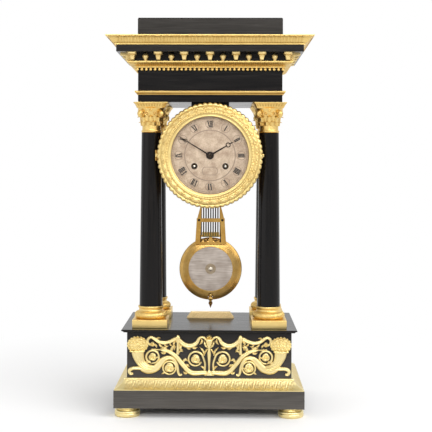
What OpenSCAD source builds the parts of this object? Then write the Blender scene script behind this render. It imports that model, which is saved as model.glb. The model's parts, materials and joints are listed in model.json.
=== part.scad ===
// Portico mantel clock: a black wooden case on four columns with gilt bronze mounts, a round striking
// movement hung under the entablature, and a gridiron pendulum. Millimetres, +Z up, the front faces -Y,
// and the origin is on the ground in the middle of the footprint.

/* [Base] */
// Widest diameter of a bun foot
foot_d = 32; // [24:0.5:40]
// Height of a bun foot
foot_h = 12; // [8:0.5:18]
// Height of the plinth
plinth_h = 22; // [14:0.5:32]
// Width of the die, the box between the plinth and the slab
die_w = 205.2; // [195:0.2:215]
// Depth of the die
die_d = 138; // [130:0.5:146]
// Height of the die
die_h = 69.1; // [60:0.1:85]
// Height of the gilt moulding round the foot of the die
base_moulding_h = 13.2; // [8:0.1:18]
// Spread of that moulding at its foot
base_moulding_out = 14.7; // [10:0.1:20]
// Step from the plinth's edge to that moulding
base_moulding_inset = 0.5; // [0.2:0.1:3]
// Overhang of the slab over the die
slab_over = 6.8; // [4:0.1:10]
// Thickness of the slab
slab_h = 4.4; // [3:0.1:8]

/* [Columns] */
// Distance from the frieze's faces in to the column axes
column_inset = 16; // [14:0.1:18]
// Shaft diameter at the bottom
column_bottom_d = 29.3; // [26:0.1:32]
// Shaft diameter at the top
column_top_d = 25.2; // [22:0.1:28]
// Length of the shaft
column_h = 220.2; // [205:0.1:240]
// Height of the gilt column base
column_base_h = 26.1; // [22:0.1:32]
// Side of the square block under the column base
column_base_w = 44; // [40:0.5:48]
// Height of the gilt capital
capital_h = 37.9; // [32:0.1:44]
// Side of the capital's abacus
capital_w = 43.5; // [40:0.5:46]
// Diameter of the iron rod inside each column
tie_rod_d = 6; // [4:0.5:8]
// Thickness of the nut at each end of a rod
tie_nut_h = 5; // [3:0.5:8]

/* [Entablature] */
// Width of the architrave and frieze
frieze_w = 181.8; // [172:0.2:195]
// Depth of the architrave and frieze
frieze_d = 115; // [106:0.5:125]
// Height of the plain black face under the bead moulding
frieze_h = 39; // [32:0.5:48]
// Height of the gilt fillet's lower edge above the soffit
fillet_up = 9.3; // [6:0.1:16]
// Height of the gilt fillet
fillet_h = 4.9; // [3:0.1:8]
// Projection of the gilt fillet
fillet_out = 4.1; // [2:0.1:6]
// Height of the bead moulding
bead_moulding_h = 11.5; // [8:0.1:16]
// Projection of the bead moulding
bead_moulding_out = 13; // [9:0.1:15]
// Height of the band of brackets and balls
band_h = 10.4; // [8:0.1:14]
// Projection of the band's wall
band_out = 6; // [4:0.1:7]
// Brackets along the front
bracket_count = 7; // [5:1:9]
// Height of the black corona
corona_h = 8.5; // [6:0.1:12]
// Projection of the black corona
corona_out = 25; // [20:0.1:28]
// Height of the gilt cornice
cornice_h = 10.9; // [8:0.1:15]
// Projection of the gilt cornice past the corona
cornice_out = 12.1; // [9:0.1:15]
// Height of the attic block on top
attic_h = 26.2; // [20:0.1:36]

/* [Dial] */
// Outer diameter of the bezel
bezel_d = 132.3; // [126:0.1:140]
// Thickness of the bezel, back to front
bezel_t = 11; // [10:0.1:14]
// Diameter of the bezel's opening
bezel_bore_d = 97.8; // [92:0.1:99]
// Gap from the bezel's top to the soffit
head_drop = 0.9; // [0.5:0.1:4]
// Diameter of the dial plate
dial_d = 101; // [100.4:0.1:102]
// Thickness of the dial plate
dial_t = 1.2; // [0.8:0.1:2]
// Thickness of the glass
glass_t = 1.6; // [1:0.1:2.2]
// Diameter of a winding hole in the dial
winding_hole_d = 7.6; // [6.6:0.1:9]
// Reach of the minute hand
minute_hand_r = 47; // [42:0.5:48]
// Reach of the hour hand
hour_hand_r = 34; // [30:0.5:37]

/* [Movement] */
// Diameter of the two movement plates
plate_d = 101.8; // [99:0.1:104]
// Thickness of a movement plate
plate_t = 2.5; // [2:0.1:3]
// Distance between the plates
plate_gap = 44; // [42:0.5:48]
// Room between the dial and the front plate for the motion work
motion_gap = 9; // [8.5:0.1:11]
// Wall of the brass drum
drum_wall = 1.5; // [1:0.1:2.5]
// Sideways distance of a winding arbor from the dial's centre
winding_x = 19.6; // [19.5:0.1:20.5]
// Distance of a winding arbor below the dial's centre
winding_down = 13.6; // [13:0.1:14.5]
// Side of the square on a winding arbor
winding_square = 3; // [2.4:0.1:3.4]
// Radius of the thin arbors
arbor_r = 0.7; // [0.6:0.05:0.72]
// Thickness of the train wheels
wheel_t = 1.5; // [1:0.1:1.8]
// Working clearance of the turning fits
running = 0.05; // [0.03:0.01:0.08]

/* [Pendulum] */
// Distance from the back plate to the pendulum's plane
pendulum_gap = 26; // [24:0.5:27]
// Diameter of the bob
bob_d = 84; // [76:0.5:90]
// Thickness of the bob at its middle
bob_t = 12; // [10:0.5:14]
// Diameter of the silvered disc set into the bob
bob_disc_d = 59; // [50:0.5:64]
// Height of the pendulum's point above the slab
tip_clear = 13; // [11.5:0.5:18]
// Length of the point below the bob
tip_h = 11; // [8:0.5:14]
// Number of gridiron rods
rod_count = 9; // [5:2:9]
// Distance between gridiron rods
rod_pitch = 3.2; // [2.8:0.1:3.4]
// Diameter of a gridiron rod
rod_d = 1.8; // [1.4:0.1:2.2]

/* [Bell] */
// Diameter of the bell
bell_d = 72; // [66:0.5:74]
// Depth of the bell
bell_h = 16; // [13:0.5:18]
// Wall of the bell
bell_wall = 1.6; // [1.2:0.1:2.2]

/* [Hidden] */
$fn = 64;

// Colours as the photograph shows them
EBONY = "#26262a";
GILT = "#e2be62";
BRASS = "#c9a04a";
STEEL = "#6f7278";
SILVER = "#d8c8b2";
BLUED = "#1c1d22";

// Plan of the plinth, from the die and its moulding
plinth_w = die_w + 2 * (base_moulding_out + base_moulding_inset);
plinth_d = die_d + 2 * (base_moulding_out + base_moulding_inset);

// Heights of the case, from the ground up
z_plinth = foot_h;
z_die = z_plinth + plinth_h;
z_slab = z_die + die_h;
z_floor = z_slab + slab_h;
z_shaft = z_floor + column_base_h;
z_capital = z_shaft + column_h;
z_soffit = z_capital + capital_h;
z_bead = z_soffit + frieze_h;
z_band = z_bead + bead_moulding_h;
z_corona = z_band + band_h;
z_cornice = z_corona + corona_h;
z_attic = z_cornice + cornice_h;

// Column places and the rods inside them
column_x = frieze_w / 2 - column_inset;
column_y = frieze_d / 2 - column_inset;
rod_bore_d = tie_rod_d + 0.6;
tie_nut_d = 2.2 * tie_rod_d;
nut_well_d = tie_nut_d + 2;
nut_well_h = tie_nut_h + 2;

// Levels of the clock head: the bezel stands just in front of the columns
z_head = z_soffit - head_drop - bezel_d / 2;
column_d_at_head = column_bottom_d + (column_top_d - column_bottom_d) * (z_head - z_shaft) / column_h;
seat_gap = 0.3;
y_bezel = -column_y - column_d_at_head / 2 - 0.6;
y_flange = y_bezel + seat_gap;
flange_t = 1.6;
y_dial = y_flange - dial_t;
y_plate = y_flange + motion_gap;
y_front = y_plate + plate_t;
y_back = y_front + plate_gap;
y_rear = y_back + plate_t;
y_pendulum = y_rear + pendulum_gap;
close_fit = 0.02;
drum_inner = plate_d / 2 + close_fit;
drum_r = drum_inner + drum_wall;

// Hands at the photograph's time, in degrees clockwise from twelve
minute_angle = 301.6;
hour_angle = 59.8;
hand_t = 0.7;
hand_gap = 0.5;
y_hour = y_dial - hand_gap - hand_t;
y_minute = y_hour - hand_gap - hand_t;
collet_h = 1.4;
pipe_r = 2.6;
cannon_r = 1.9;
centre_r = 1.2;

// Tooth counts of the going train, motion work and striking train
great_teeth = 84;
second_leaves = 14;
second_teeth = 72;
centre_leaves = 10;
centre_teeth = 88;
third_leaves = 8;
third_teeth = 88;
escape_leaves = 8;
escape_teeth = 34;
cannon_teeth = 14;
minute_teeth = 42;
minute_leaves = 12;
hour_teeth = 48;
strike_teeth = 64;
pin_leaves = 8;
pin_teeth = 60;
warning_leaves = 8;
warning_teeth = 48;
fly_leaves = 8;

// Tooth sizes, as diameter per tooth
great_m = 0.44;
second_m = 0.45;
centre_m = 0.35;
third_m = 0.2625;
cannon_m = 0.6;
hour_m = cannon_m * (cannon_teeth + minute_teeth) / (minute_leaves + hour_teeth);
strike_m = 0.4;
pin_m = 0.33;
warning_m = 0.3;
escape_r = 7.6;

// A tooth as [share of the pitch, height in tooth sizes]
TOOTH = [[-0.27, -1.25], [-0.09, 0.95], [0.09, 0.95], [0.27, -1.25]];

// Arbor places in the front view, from the dial's centre
function polar(r, a) = r * [cos(a), sin(a)];
function spacing(n1, n2, m) = (n1 + n2) * m / 2;
// The place at distance ra from a and rb from b, on the right of the way from a to b
function meet(a, ra, b, rb) = let (d = norm(b - a), u = (b - a) / d,
    x = (d * d + ra * ra - rb * rb) / (2 * d)) a + x * u + sqrt(ra * ra - x * x) * [u.y, -u.x];
centre_at = [0, 0];
going_at = [winding_x, -winding_down];
strike_at = [-winding_x, -winding_down];
second_at = meet(going_at, spacing(great_teeth, second_leaves, great_m), centre_at,
    spacing(second_teeth, centre_leaves, second_m));
third_at = [0, spacing(centre_teeth, third_leaves, centre_m)];
escape_at = third_at + [0, spacing(third_teeth, escape_leaves, third_m)];
anchor_at = escape_at + [0, 1.3 * escape_r];
motion_at = polar(spacing(cannon_teeth, minute_teeth, cannon_m), 60);
strike_second_at = [-second_at.x, second_at.y];
pin_at = strike_second_at + polar(spacing(strike_teeth, pin_leaves, strike_m), 135);
warning_at = pin_at + polar(spacing(pin_teeth, warning_leaves, pin_m), 25);
fly_at = warning_at + polar(spacing(warning_teeth, fly_leaves, warning_m), 60);
hammer_at = polar(bell_d / 2 + 5.3, 174.5);
post_at = polar(bell_d / 2 + 6, -6);
pillar_places = [[22, 33], [-22, 33], [11, -40], [-11, -40]];

// Phase of the wheel at b that puts its gaps on the teeth of the wheel at a
function mesh_phase(a, na, pa, b, nb) = let (d = b - a, t = atan2(d.y, d.x))
    t + 180 + 360 / nb * ((t - pa) * na / 360 - 0.5);
second_phase = mesh_phase(going_at, great_teeth, 0, second_at, second_leaves);
centre_phase = mesh_phase(second_at, second_teeth, 0, centre_at, centre_leaves);
third_phase = mesh_phase(centre_at, centre_teeth, 0, third_at, third_leaves);
escape_phase = mesh_phase(third_at, third_teeth, 0, escape_at, escape_leaves);
minute_phase = mesh_phase(centre_at, cannon_teeth, 0, motion_at, minute_teeth);
hour_phase = mesh_phase(motion_at, minute_leaves, 0, centre_at, hour_teeth);
strike_second_phase = mesh_phase(strike_at, great_teeth, 0, strike_second_at, second_leaves);
pin_phase = mesh_phase(strike_second_at, strike_teeth, 0, pin_at, pin_leaves);
warning_phase = mesh_phase(pin_at, pin_teeth, 0, warning_at, warning_leaves);
fly_phase = mesh_phase(warning_at, warning_teeth, 0, fly_at, fly_leaves);

// Depths of the wheels behind the front plate
y_centre_wheel = y_front + 2;
y_second_wheel = y_front + 9;
y_strike_wheel = y_front + 12;
y_great_wheel = y_front + 16;
great_t = 2;
y_warning_wheel = y_front + 18.4;
y_escape_wheel = y_front + 25;
y_pin_wheel = y_front + 30;
y_third_wheel = y_back - 7;
barrel_r = 16.5;
barrel_h = plate_gap - 24;

// Pendulum levels, from the slab up and from the suspension down
z_anchor = z_head + anchor_at.y;
z_bob = z_floor + tip_clear + tip_h + bob_d / 2;
z_frame = z_bob + 33;
z_comb = z_frame + 10;
comb_h = 6;
z_crossbar = z_frame + 30;
crossbar_h = 5;
z_shoulder = z_frame + 50;
z_topbar = z_shoulder + 29;
topbar_h = 5;
rod_span = (rod_count - 1) * rod_pitch;
frame_half = rod_span / 2 + 8;
hook_w = 5;
spring_h = 12;
bob_rod_r = 1.5;
nut_r = 3.4;
nut_gap = 0.35;
nut_cap_r = 0.88 * nut_r;
nut_step = 1.35 * nut_r;
nut_rise = 1.5;
z_nut = z_bob - bob_d / 2 + nut_rise;
tip_r = 3;
tip_cone_h = 0.6 * tip_h;
tip_cap_h = 0.15 * tip_h;

// Outlines drawn in the front or side view and filled from one depth to another
module front_view(y0, y1) translate([0, y1, 0]) rotate([90, 0, 0]) linear_extrude(y1 - y0) children();
module side_view(x0, x1) translate([x0, 0, 0]) rotate([90, 0, 90]) linear_extrude(x1 - x0) children();
module turned_about_y() rotate([-90, 0, 0]) rotate_extrude() children();
module in_head() translate([0, 0, z_head]) children();
module spindle(at, y0, y1, r) in_head() translate([at.x, y0, at.y]) rotate([-90, 0, 0])
    cylinder(r = r, h = y1 - y0);
module at_columns() for (x = [-column_x, column_x], y = [-column_y, column_y]) translate([x, y, 0])
    children();
module block(w, d, z0, z1) translate([-w / 2, -d / 2, z0]) cube([w, d, z1 - z0]);
module rod_bores(z0, z1) at_columns() translate([0, 0, z0]) cylinder(d = rod_bore_d, h = z1 - z0);
function arc(c, r, a0, a1, n) = [for (i = [0 : n]) c + polar(r, a0 + (a1 - a0) * i / n)];
// Swelling line from p to q, level at both ends
function ogee(p, q, n) = [for (i = [0 : n]) let (t = i / n)
    [p.x + (q.x - p.x) * (1 - cos(180 * t)) / 2, p.y + (q.y - p.y) * t]];

// Ring of moulding mitred at its corners; profile lists [out, height] points anticlockwise
module mitred_ring(w, d, profile) {
    n = len(profile);
    corners = [[-1, -1], [1, -1], [1, 1], [-1, 1]];
    polyhedron(
        [for (c = corners) for (p = profile) [c.x * (w / 2 + p.x), c.y * (d / 2 + p.x), p.y]],
        [for (c = [0 : 3]) for (i = [0 : n - 1]) let (e = (c + 1) % 4, j = (i + 1) % n)
            [c * n + i, c * n + j, e * n + j, e * n + i]]);
}

// Smooth curve through [x, z, width] points
function between(p, i, t) = let (a = p[max(i - 1, 0)], b = p[i], c = p[i + 1], d = p[min(i + 2, len(p) - 1)])
    b + t * (c - a) / 2 + t * t * (2 * a - 5 * b + 4 * c - d) / 2 + t * t * t * (3 * b - a - 3 * c + d) / 2;
function smooth(p, steps) = concat(
    [for (i = [0 : len(p) - 2]) for (k = [0 : steps - 1]) between(p, i, k / steps)], [p[len(p) - 1]]);
// Spiral as [x, z, width] points, from radius r0 at angle a0 to r1 at a1
function spiral(c, r0, r1, a0, a1, w0, w1, n = 18) = [for (i = [0 : n]) let (t = i / n,
    q = c + polar(r0 + (r1 - r0) * t, a0 + (a1 - a0) * t)) [q.x, q.y, w0 + (w1 - w0) * t]];
module ribbon(line) {
    n = len(line) - 1;
    side = [for (i = [0 : n]) let (d = line[min(i + 1, n)] - line[max(i - 1, 0)], v = [-d.y, d.x])
        v / norm(v) * line[i].z / 2];
    polygon(concat([for (i = [0 : n]) [line[i].x, line[i].y] + side[i]],
        [for (i = [n : -1 : 0]) [line[i].x, line[i].y] - side[i]]));
}

// Base
module feet() color(GILT) {
    foot_x = plinth_w / 2 - foot_d / 2;
    foot_y = plinth_d / 2 - foot_d / 2;
    roll = foot_h * 0.32;
    for (x = [-foot_x, foot_x], y = [-foot_y, foot_y]) translate([x, y, 0]) rotate_extrude()
        polygon(concat([[0, 0], [foot_d / 2 - roll * 0.8, 0]],
            arc([foot_d / 2 - roll, roll], roll, -60, 75, 8),
            [[foot_d / 2 - roll * 1.3, foot_h * 0.72], [foot_d / 2 - roll * 0.6, foot_h * 0.86],
            [foot_d / 2 - roll * 0.6, foot_h], [0, foot_h]]));
}

module plinth() color(EBONY) difference() {
    block(plinth_w, plinth_d, z_plinth, z_die);
    rod_bores(z_plinth - 1, z_die + 1);
    at_columns() translate([0, 0, z_plinth - 1]) cylinder(d = nut_well_d, h = nut_well_h + 1);
}

module base_moulding() color(GILT) {
    out = base_moulding_out;
    lip = base_moulding_h * 0.12;
    mitred_ring(die_w, die_d, concat([[0, z_die], [out, z_die]],
        ogee([out, z_die + lip], [lip, z_die + base_moulding_h - lip], 10),
        [[lip, z_die + base_moulding_h], [0, z_die + base_moulding_h]]));
}

module die() color(EBONY) difference() {
    block(die_w, die_d, z_die, z_slab);
    rod_bores(z_die - 1, z_slab + 1);
}

module slab() color(EBONY) difference() {
    mitred_slab(die_w, die_d, slab_over, z_slab, slab_h);
    rod_bores(z_slab - 1, z_floor + 1);
}

// Board with a hollow under its edge, made of two crossed outlines
module mitred_slab(w, d, over, z0, h) {
    function edge(half) = concat([[-half, z0], [half, z0]], arc([half + over, z0], over * 0.45, 165, 95, 4),
        [[half + over, z0 + h * 0.5], [half + over, z0 + h * 0.85], [half + over * 0.92, z0 + h],
        [-half - over * 0.92, z0 + h], [-half - over, z0 + h * 0.85], [-half - over, z0 + h * 0.5]],
        arc([-half - over, z0], over * 0.45, 85, 15, 4));
    intersection() {
        front_view(-d, d) polygon(edge(w / 2));
        side_view(-w, w) polygon(edge(d / 2));
    }
}

// Hipped plate on the slab under the pendulum
module beat_plate() color(GILT) {
    plate_w = 63;
    plate_deep = 15;
    plate_h = 8;
    slope = 5;
    translate([0, y_pendulum, z_floor]) intersection() {
        front_view(-plate_deep, plate_deep) polygon([[-plate_w / 2, 0], [plate_w / 2, 0],
            [plate_w / 2 - slope, plate_h], [-plate_w / 2 + slope, plate_h]]);
        side_view(-plate_w, plate_w) polygon([[-plate_deep / 2, 0], [plate_deep / 2, 0],
            [plate_deep / 2 - slope, plate_h], [-plate_deep / 2 + slope, plate_h]]);
    }
}

// Gilt mount of the die: a horn of flowers on each side, with scrolling stems between them.
// The lines are the left half's, [x, height, width], from the middle of the die's face, and are drawn
// for a die of the drawn width.
module scroll_mount() color(GILT) {
    relief = 2.4;
    drawn_w = 205.2;
    y_face = -die_d / 2;
    z_middle = z_die + base_moulding_h + (die_h - base_moulding_h) / 2;
    rosettes = [[-49.5, -15.5, 6.1], [-70.5, -2.1, 5], [-16.9, -4.5, 5.7], [-70.8, 13.7, 2.8]];
    main_stem = [[-84, -15.5, 7.5], [-79, -17.6, 9], [-74, -18, 9.4], [-66.6, -16, 8.2], [-60.8, -9.9, 7.2],
        [-56.4, -5.2, 6], [-50.5, -2.9, 4.6], [-44.7, -4.9, 4], [-41, -10.4, 3.6], [-39.2, -16.2, 3.3],
        [-38.6, -21, 3], [-36.6, -24.6, 2.8], [-33.9, -23.6, 2.2]];
    tail = [[-80, -15.8, 6], [-88, -16.2, 5], [-95, -16.4, 4.6], [-99.3, -19, 4.4], [-98.2, -23, 4],
        [-94.8, -23, 3]];
    horn = [[-89.2, 6, 16.4], [-88.4, 0, 15], [-86.6, -6, 12], [-84.4, -11.5, 9.6], [-82, -15.6, 8]];
    low_stem = [[-3, -21.6, 5], [-8, -21.4, 5], [-13.2, -21.8, 5.4], [-20.6, -21.8, 5.6], [-26.4, -18.9, 5.4],
        [-30.8, -14, 5.2], [-35.2, -8.9, 5], [-40.3, -2.3, 4.8], [-46.2, 2.2, 4.4], [-52, 5.4, 4],
        [-58, 6.4, 3.4], [-61, 6.8, 1.4], [-72, 7.4, 1.2]];
    left_swag = [[-73, 12.4, 1.8], [-76.4, 15.4, 2.2], [-76.4, 19.8, 2.6], [-72.6, 22.6, 2.8],
        [-68.4, 20.6, 3.2], [-63, 17, 3.4], [-55.7, 15.6, 3.6], [-48.4, 17.4, 3.6], [-42.5, 20.3, 4],
        [-39, 21, 4]];
    knob = [[-38.9, 25, 3], [-38.9, 21.6, 6.4], [-38.9, 18, 6], [-39, 14.6, 3]];
    hanger = [[-39.1, 16, 2.4], [-39.2, 8, 2.6], [-39.3, 1, 3.2]];
    right_swag = [[-38.5, 21, 3.6], [-36, 17.6, 4.4], [-31.5, 13.8, 5], [-25.7, 12, 5.2], [-19.8, 13, 5],
        [-15.4, 16.2, 4.2], [-13.4, 19.8, 3.4], [-10.8, 22.6, 2.8], [-6.7, 22.4, 2.6], [-2.4, 18, 2.4]];
    lines = [smooth(main_stem, 3), smooth(tail, 3), smooth(low_stem, 3), smooth(left_swag, 3),
        smooth(knob, 2), smooth(hanger, 2), smooth(right_swag, 3),
        spiral([-49.5, -15.5], 8.1, 8.1, 0, 360, 2.4, 2.4), [[-41.6, -15.5, 2], [-44.5, -15.5, 2]],
        spiral([-70.5, -2.1], 8, 8, 225, -75, 3, 2), [[-62.7, -2.1, 2], [-66.5, -2.1, 2]],
        concat([[-5.6, -19, 2.8], [-5.2, -10, 2.6]], spiral([-16.9, -4.5], 9.6, 8, 25, 325, 2.8, 2)),
        [[-11.2, -10.2, 2], [-13.8, -7.6, 2]]];
    bunch = [for (a = [0 : 9 : 351]) polar(12.1 + 0.6 * cos(8 * a), a)];
    middle = [[0, 21, 4], [0, 17.5, 8.6], [0, 13, 6], [0, 8.6, 2.6], [0, 3, 4.6], [0, -2, 4.2], [0, -10, 3],
        [0, -18, 2.4], [0, -20, 5], [0, -24.6, 11]];
    translate([0, 0, z_middle]) scale([die_w / drawn_w, 1, 1]) {
        front_view(y_face - relief, y_face) offset(delta = 0.05) {
            for (side = [0, 1], line = lines) mirror([side, 0]) ribbon(line);
            ribbon(smooth(middle, 2));
        }
        for (side = [0, 1]) mirror([side, 0, 0]) {
            for (r = rosettes) dome([r.x, r.y], r.z, relief);
            front_view(y_face - relief - 1.2, y_face) ribbon(smooth(horn, 2));
            front_view(y_face - relief - 2, y_face) translate([-89.2, 13.4]) polygon(bunch);
        }
        dome([0, 22.5], 3.4, relief);
    }
}

// Rounded boss on the die's face
module dome(at, r, relief) hull() {
    front_view(-die_d / 2 - relief, -die_d / 2) translate(at) circle(r, $fn = 20);
    front_view(-die_d / 2 - relief - 1, -die_d / 2) translate(at) circle(r * 0.6, $fn = 20);
}

// Columns
module column(x, y) color(EBONY) difference() {
    translate([x, y, z_shaft]) cylinder(d1 = column_bottom_d, d2 = column_top_d, h = column_h);
    translate([x, y, z_shaft - 1]) cylinder(d = rod_bore_d, h = column_h + 2);
}

module column_front_left() column(-column_x, -column_y);
module column_front_right() column(column_x, -column_y);
module column_rear_left() column(-column_x, column_y);
module column_rear_right() column(column_x, column_y);

// Square block, leafed torus, hollow and flared collar
module column_bases() color(GILT) at_columns() translate([0, 0, z_floor]) {
    block_h = column_base_h * 0.4;
    torus_r = column_base_h * 0.16;
    torus_out = column_base_w * 0.45;
    collar = column_bottom_d / 2 + 1.6;
    z_torus = block_h + torus_r;
    difference() {
        union() {
            block(column_base_w, column_base_w, 0, block_h);
            rotate_extrude() polygon(concat([[0, block_h - 1], [torus_out - torus_r, block_h - 1]],
                arc([torus_out - torus_r, z_torus], torus_r, -90, 75, 8),
                [[collar - 0.6, block_h + 2.4 * torus_r], [collar - 1.4, column_base_h - 4],
                [collar, column_base_h - 1.4], [collar, column_base_h], [0, column_base_h]]));
        }
        translate([0, 0, -1]) cylinder(d = rod_bore_d, h = column_base_h + 2);
    }
}

// Neck ring, bell with two rows of leaves, corner volutes and hollow-sided abacus
module capitals() color(GILT) at_columns() translate([0, 0, z_capital]) difference() {
    neck_r = column_top_d / 2;
    abacus_h = capital_h * 0.2;
    bell_top = capital_h - abacus_h;
    volute_r = capital_h * 0.14;
    volute_at = capital_w * 0.39;
    hollow = capital_w * 0.06;
    union() {
        rotate_extrude() polygon(concat([[0, 0], [neck_r + 0.8, 0]],
            arc([neck_r - 0.6, 2.2], 1.8, -50, 80, 5),
            [[neck_r - 0.8, 5], [neck_r - 0.4, capital_h * 0.45], [neck_r + 1.6, capital_h * 0.65],
            [neck_r + 5, bell_top], [0, bell_top]]));
        for (row = [0, 1], k = [0 : 7]) rotate(k * 45 + row * 22.5 - 17) translate([0, 0, 4.6 + row * 6])
            rotate_extrude(angle = 34) polygon([[neck_r - 2, 0], [neck_r + 0.4, 0], [neck_r + 1.6, 8],
                [neck_r + 4, 11], [neck_r + 3.4, 12.2], [neck_r - 2, 12.2]]);
        for (k = [0 : 3]) rotate(45 + k * 90) translate([volute_at, 2.4, bell_top - volute_r - 0.6])
            rotate([90, 0, 0]) cylinder(r = volute_r, h = 4.8);
        translate([0, 0, bell_top]) linear_extrude(abacus_h) abacus_outline(capital_w / 2, hollow);
        translate([0, 0, bell_top - 0.8]) linear_extrude(0.9) square(capital_w * 0.72, center = true);
    }
    translate([0, 0, -1]) cylinder(d = rod_bore_d, h = capital_h + 2);
}

// Square with hollow sides and cut corners
module abacus_outline(half, hollow) polygon([for (k = [0 : 3]) for (i = [-4 : 4]) let (t = i / 4,
    p = [half - hollow * (1 - t * t), t * half * 0.86], a = k * 90)
    [p.x * cos(a) - p.y * sin(a), p.x * sin(a) + p.y * cos(a)]]);

// Iron rods through the columns, with a nut at each end
module tie_rods() color(STEEL) {
    z_foot = z_plinth + nut_well_h - tie_nut_h;
    z_top = z_bead - tie_nut_h;
    at_columns() {
        translate([0, 0, z_foot - 1]) cylinder(d = tie_rod_d, h = z_top + tie_nut_h - z_foot + 2);
        for (z = [z_foot, z_top]) translate([0, 0, z]) cylinder(d = tie_nut_d, h = tie_nut_h, $fn = 6);
    }
}

// Entablature
module entablature_box() color(EBONY) difference() {
    block(frieze_w, frieze_d, z_soffit, z_band);
    rod_bores(z_soffit - 1, z_bead);
    at_columns() translate([0, 0, z_bead - tie_nut_h])
        cylinder(d = nut_well_d, h = z_band - z_bead + tie_nut_h + 1);
}

// Fillet round the architrave, fullest near its upper edge
module architrave_fillet() color(GILT) {
    z0 = z_soffit + fillet_up;
    lip = fillet_h * 0.2;
    mitred_ring(frieze_w, frieze_d, concat([[0, z0], [lip, z0]],
        ogee([lip * 1.4, z0 + lip * 0.4], [fillet_out - 0.4, z0 + fillet_h - 1.6 * lip], 6),
        [[fillet_out, z0 + fillet_h - lip], [fillet_out - lip, z0 + fillet_h], [0, z0 + fillet_h]]));
}

module bead_moulding() color(GILT) {
    lip = bead_moulding_h * 0.12;
    mitred_ring(frieze_w, frieze_d, concat([[0, z_bead], [lip * 2, z_bead]],
        arc([lip * 2, z_bead + 2.2], 2, -80, 80, 5),
        ogee([lip * 2.4, z_bead + 4.6], [bead_moulding_out, z_band - lip], 8),
        [[bead_moulding_out, z_band], [0, z_band]]));
}

// Black board: the wall behind the brackets, the plain corona and the core of the cornice
module corona() color(EBONY) {
    block(frieze_w + 2 * band_out, frieze_d + 2 * band_out, z_band, z_corona);
    block(frieze_w + 2 * corona_out, frieze_d + 2 * corona_out, z_corona, z_cornice);
    block(frieze_w + 2 * corona_out - 8, frieze_d + 2 * corona_out - 8, z_cornice - 0.1, z_attic);
}

// Trumpet brackets with balls between them, round the band under the corona
bracket_pitch = (frieze_w + 2 * band_out) / (bracket_count - 1);
module frieze_studs() color(GILT) {
    side_pitches = round(frieze_d / bracket_pitch);
    for (turn = [0, 180]) rotate(turn) {
        stud_row(bracket_count, bracket_pitch, frieze_d / 2 + band_out);
        rotate(90) stud_row(side_pitches + 1, frieze_d / side_pitches, frieze_w / 2 + band_out);
    }
}

module stud_row(count, pitch, wall) {
    reach = corona_out - band_out - 6;
    ball_r = band_h * 0.32;
    foot_r = ball_r * 0.6;
    ball_y = -wall - (bead_moulding_out - band_out) / 2;
    for (i = [0 : count - 1]) translate([(i - (count - 1) / 2) * pitch, 0, 0])
        intersection() {
            front_view(-wall - reach, -wall) polygon(concat([[-3, z_band], [3, z_band]],
                ogee([3, z_band + 1], [5.6, z_corona], 5), ogee([-5.6, z_corona], [-3, z_band + 1], 5)));
            side_view(-6, 6) polygon(concat([[-wall, z_band]],
                ogee([-wall - (bead_moulding_out - band_out) * 0.8, z_band], [-wall - reach, z_corona], 5),
                [[-wall, z_corona]]));
        }
    for (i = [0 : count - 2]) translate([(i - (count - 2) / 2) * pitch, ball_y, z_band]) {
        cylinder(r = foot_r, h = band_h * 0.3);
        translate([0, 0, band_h * 0.48]) sphere(ball_r);
    }
}

module cornice_moulding() color(GILT) {
    lip = cornice_h * 0.16;
    mitred_ring(frieze_w + 2 * corona_out - 8, frieze_d + 2 * corona_out - 8, concat(
        [[0, z_cornice], [4 + lip, z_cornice], [4 + lip, z_cornice + lip]],
        ogee([4 + lip * 1.6, z_cornice + lip], [cornice_out + 3, z_attic - lip], 9),
        [[cornice_out + 4, z_attic - lip], [cornice_out + 4, z_attic], [0, z_attic]]));
}

module attic_block() color(EBONY) {
    edge = 1.2;
    block(frieze_w + 1, frieze_d + 1, z_attic, z_attic + attic_h - edge);
    block(frieze_w + 1 - edge, frieze_d + 1 - edge, z_attic + attic_h - edge - 0.1, z_attic + attic_h);
}

// Clock head
hinge_x = -bezel_d / 2 - 1.75;
hinge_y = y_bezel - 1.6;
knuckle_r = 1.2;
pin_r = 0.6;
knuckle_h = 4;
// Places that a hinge pin crosses, with its bore
module hinge_bore(r) translate([hinge_x, hinge_y, -3 * knuckle_h]) cylinder(r = r, h = 6 * knuckle_h);

// Brass drum with the ring that carries the dial and two fixed hinge knuckles
module drum() color(BRASS) in_head() {
    lip = dial_d / 2 - 2.5;
    turned_about_y() polygon([[lip, y_flange], [drum_r + 6, y_flange], [drum_r + 6, y_flange + flange_t],
        [drum_r, y_flange + flange_t], [drum_r, y_rear], [drum_inner, y_rear],
        [drum_inner, y_flange + flange_t],
        [lip, y_flange + flange_t]]);
    difference() {
        for (s = [-1, 1]) translate([0, 0, s * (knuckle_h + seat_gap) - knuckle_h / 2]) {
            translate([hinge_x - knuckle_r, y_flange, 0])
                cube([knuckle_r - hinge_x - drum_r, flange_t - 0.2, knuckle_h]);
            translate([hinge_x - knuckle_r, hinge_y, 0])
                cube([2 * knuckle_r, y_flange + 0.5 - hinge_y, knuckle_h]);
            translate([hinge_x, hinge_y, 0]) cylinder(r = knuckle_r, h = knuckle_h);
        }
        hinge_bore(pin_r + close_fit);
    }
}

// Wooden saddle between the drum and the soffit
module drum_saddle() color(EBONY) difference() {
    saddle_w = 48;
    saddle_deep = 40;
    translate([-saddle_w / 2, (y_flange + flange_t + y_rear) / 2 - saddle_deep / 2, z_head + drum_r * 0.8])
        cube([saddle_w, saddle_deep, z_soffit - z_head - drum_r * 0.8]);
    spindle(centre_at, y_flange, y_rear + 1, drum_r + close_fit);
}

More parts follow.
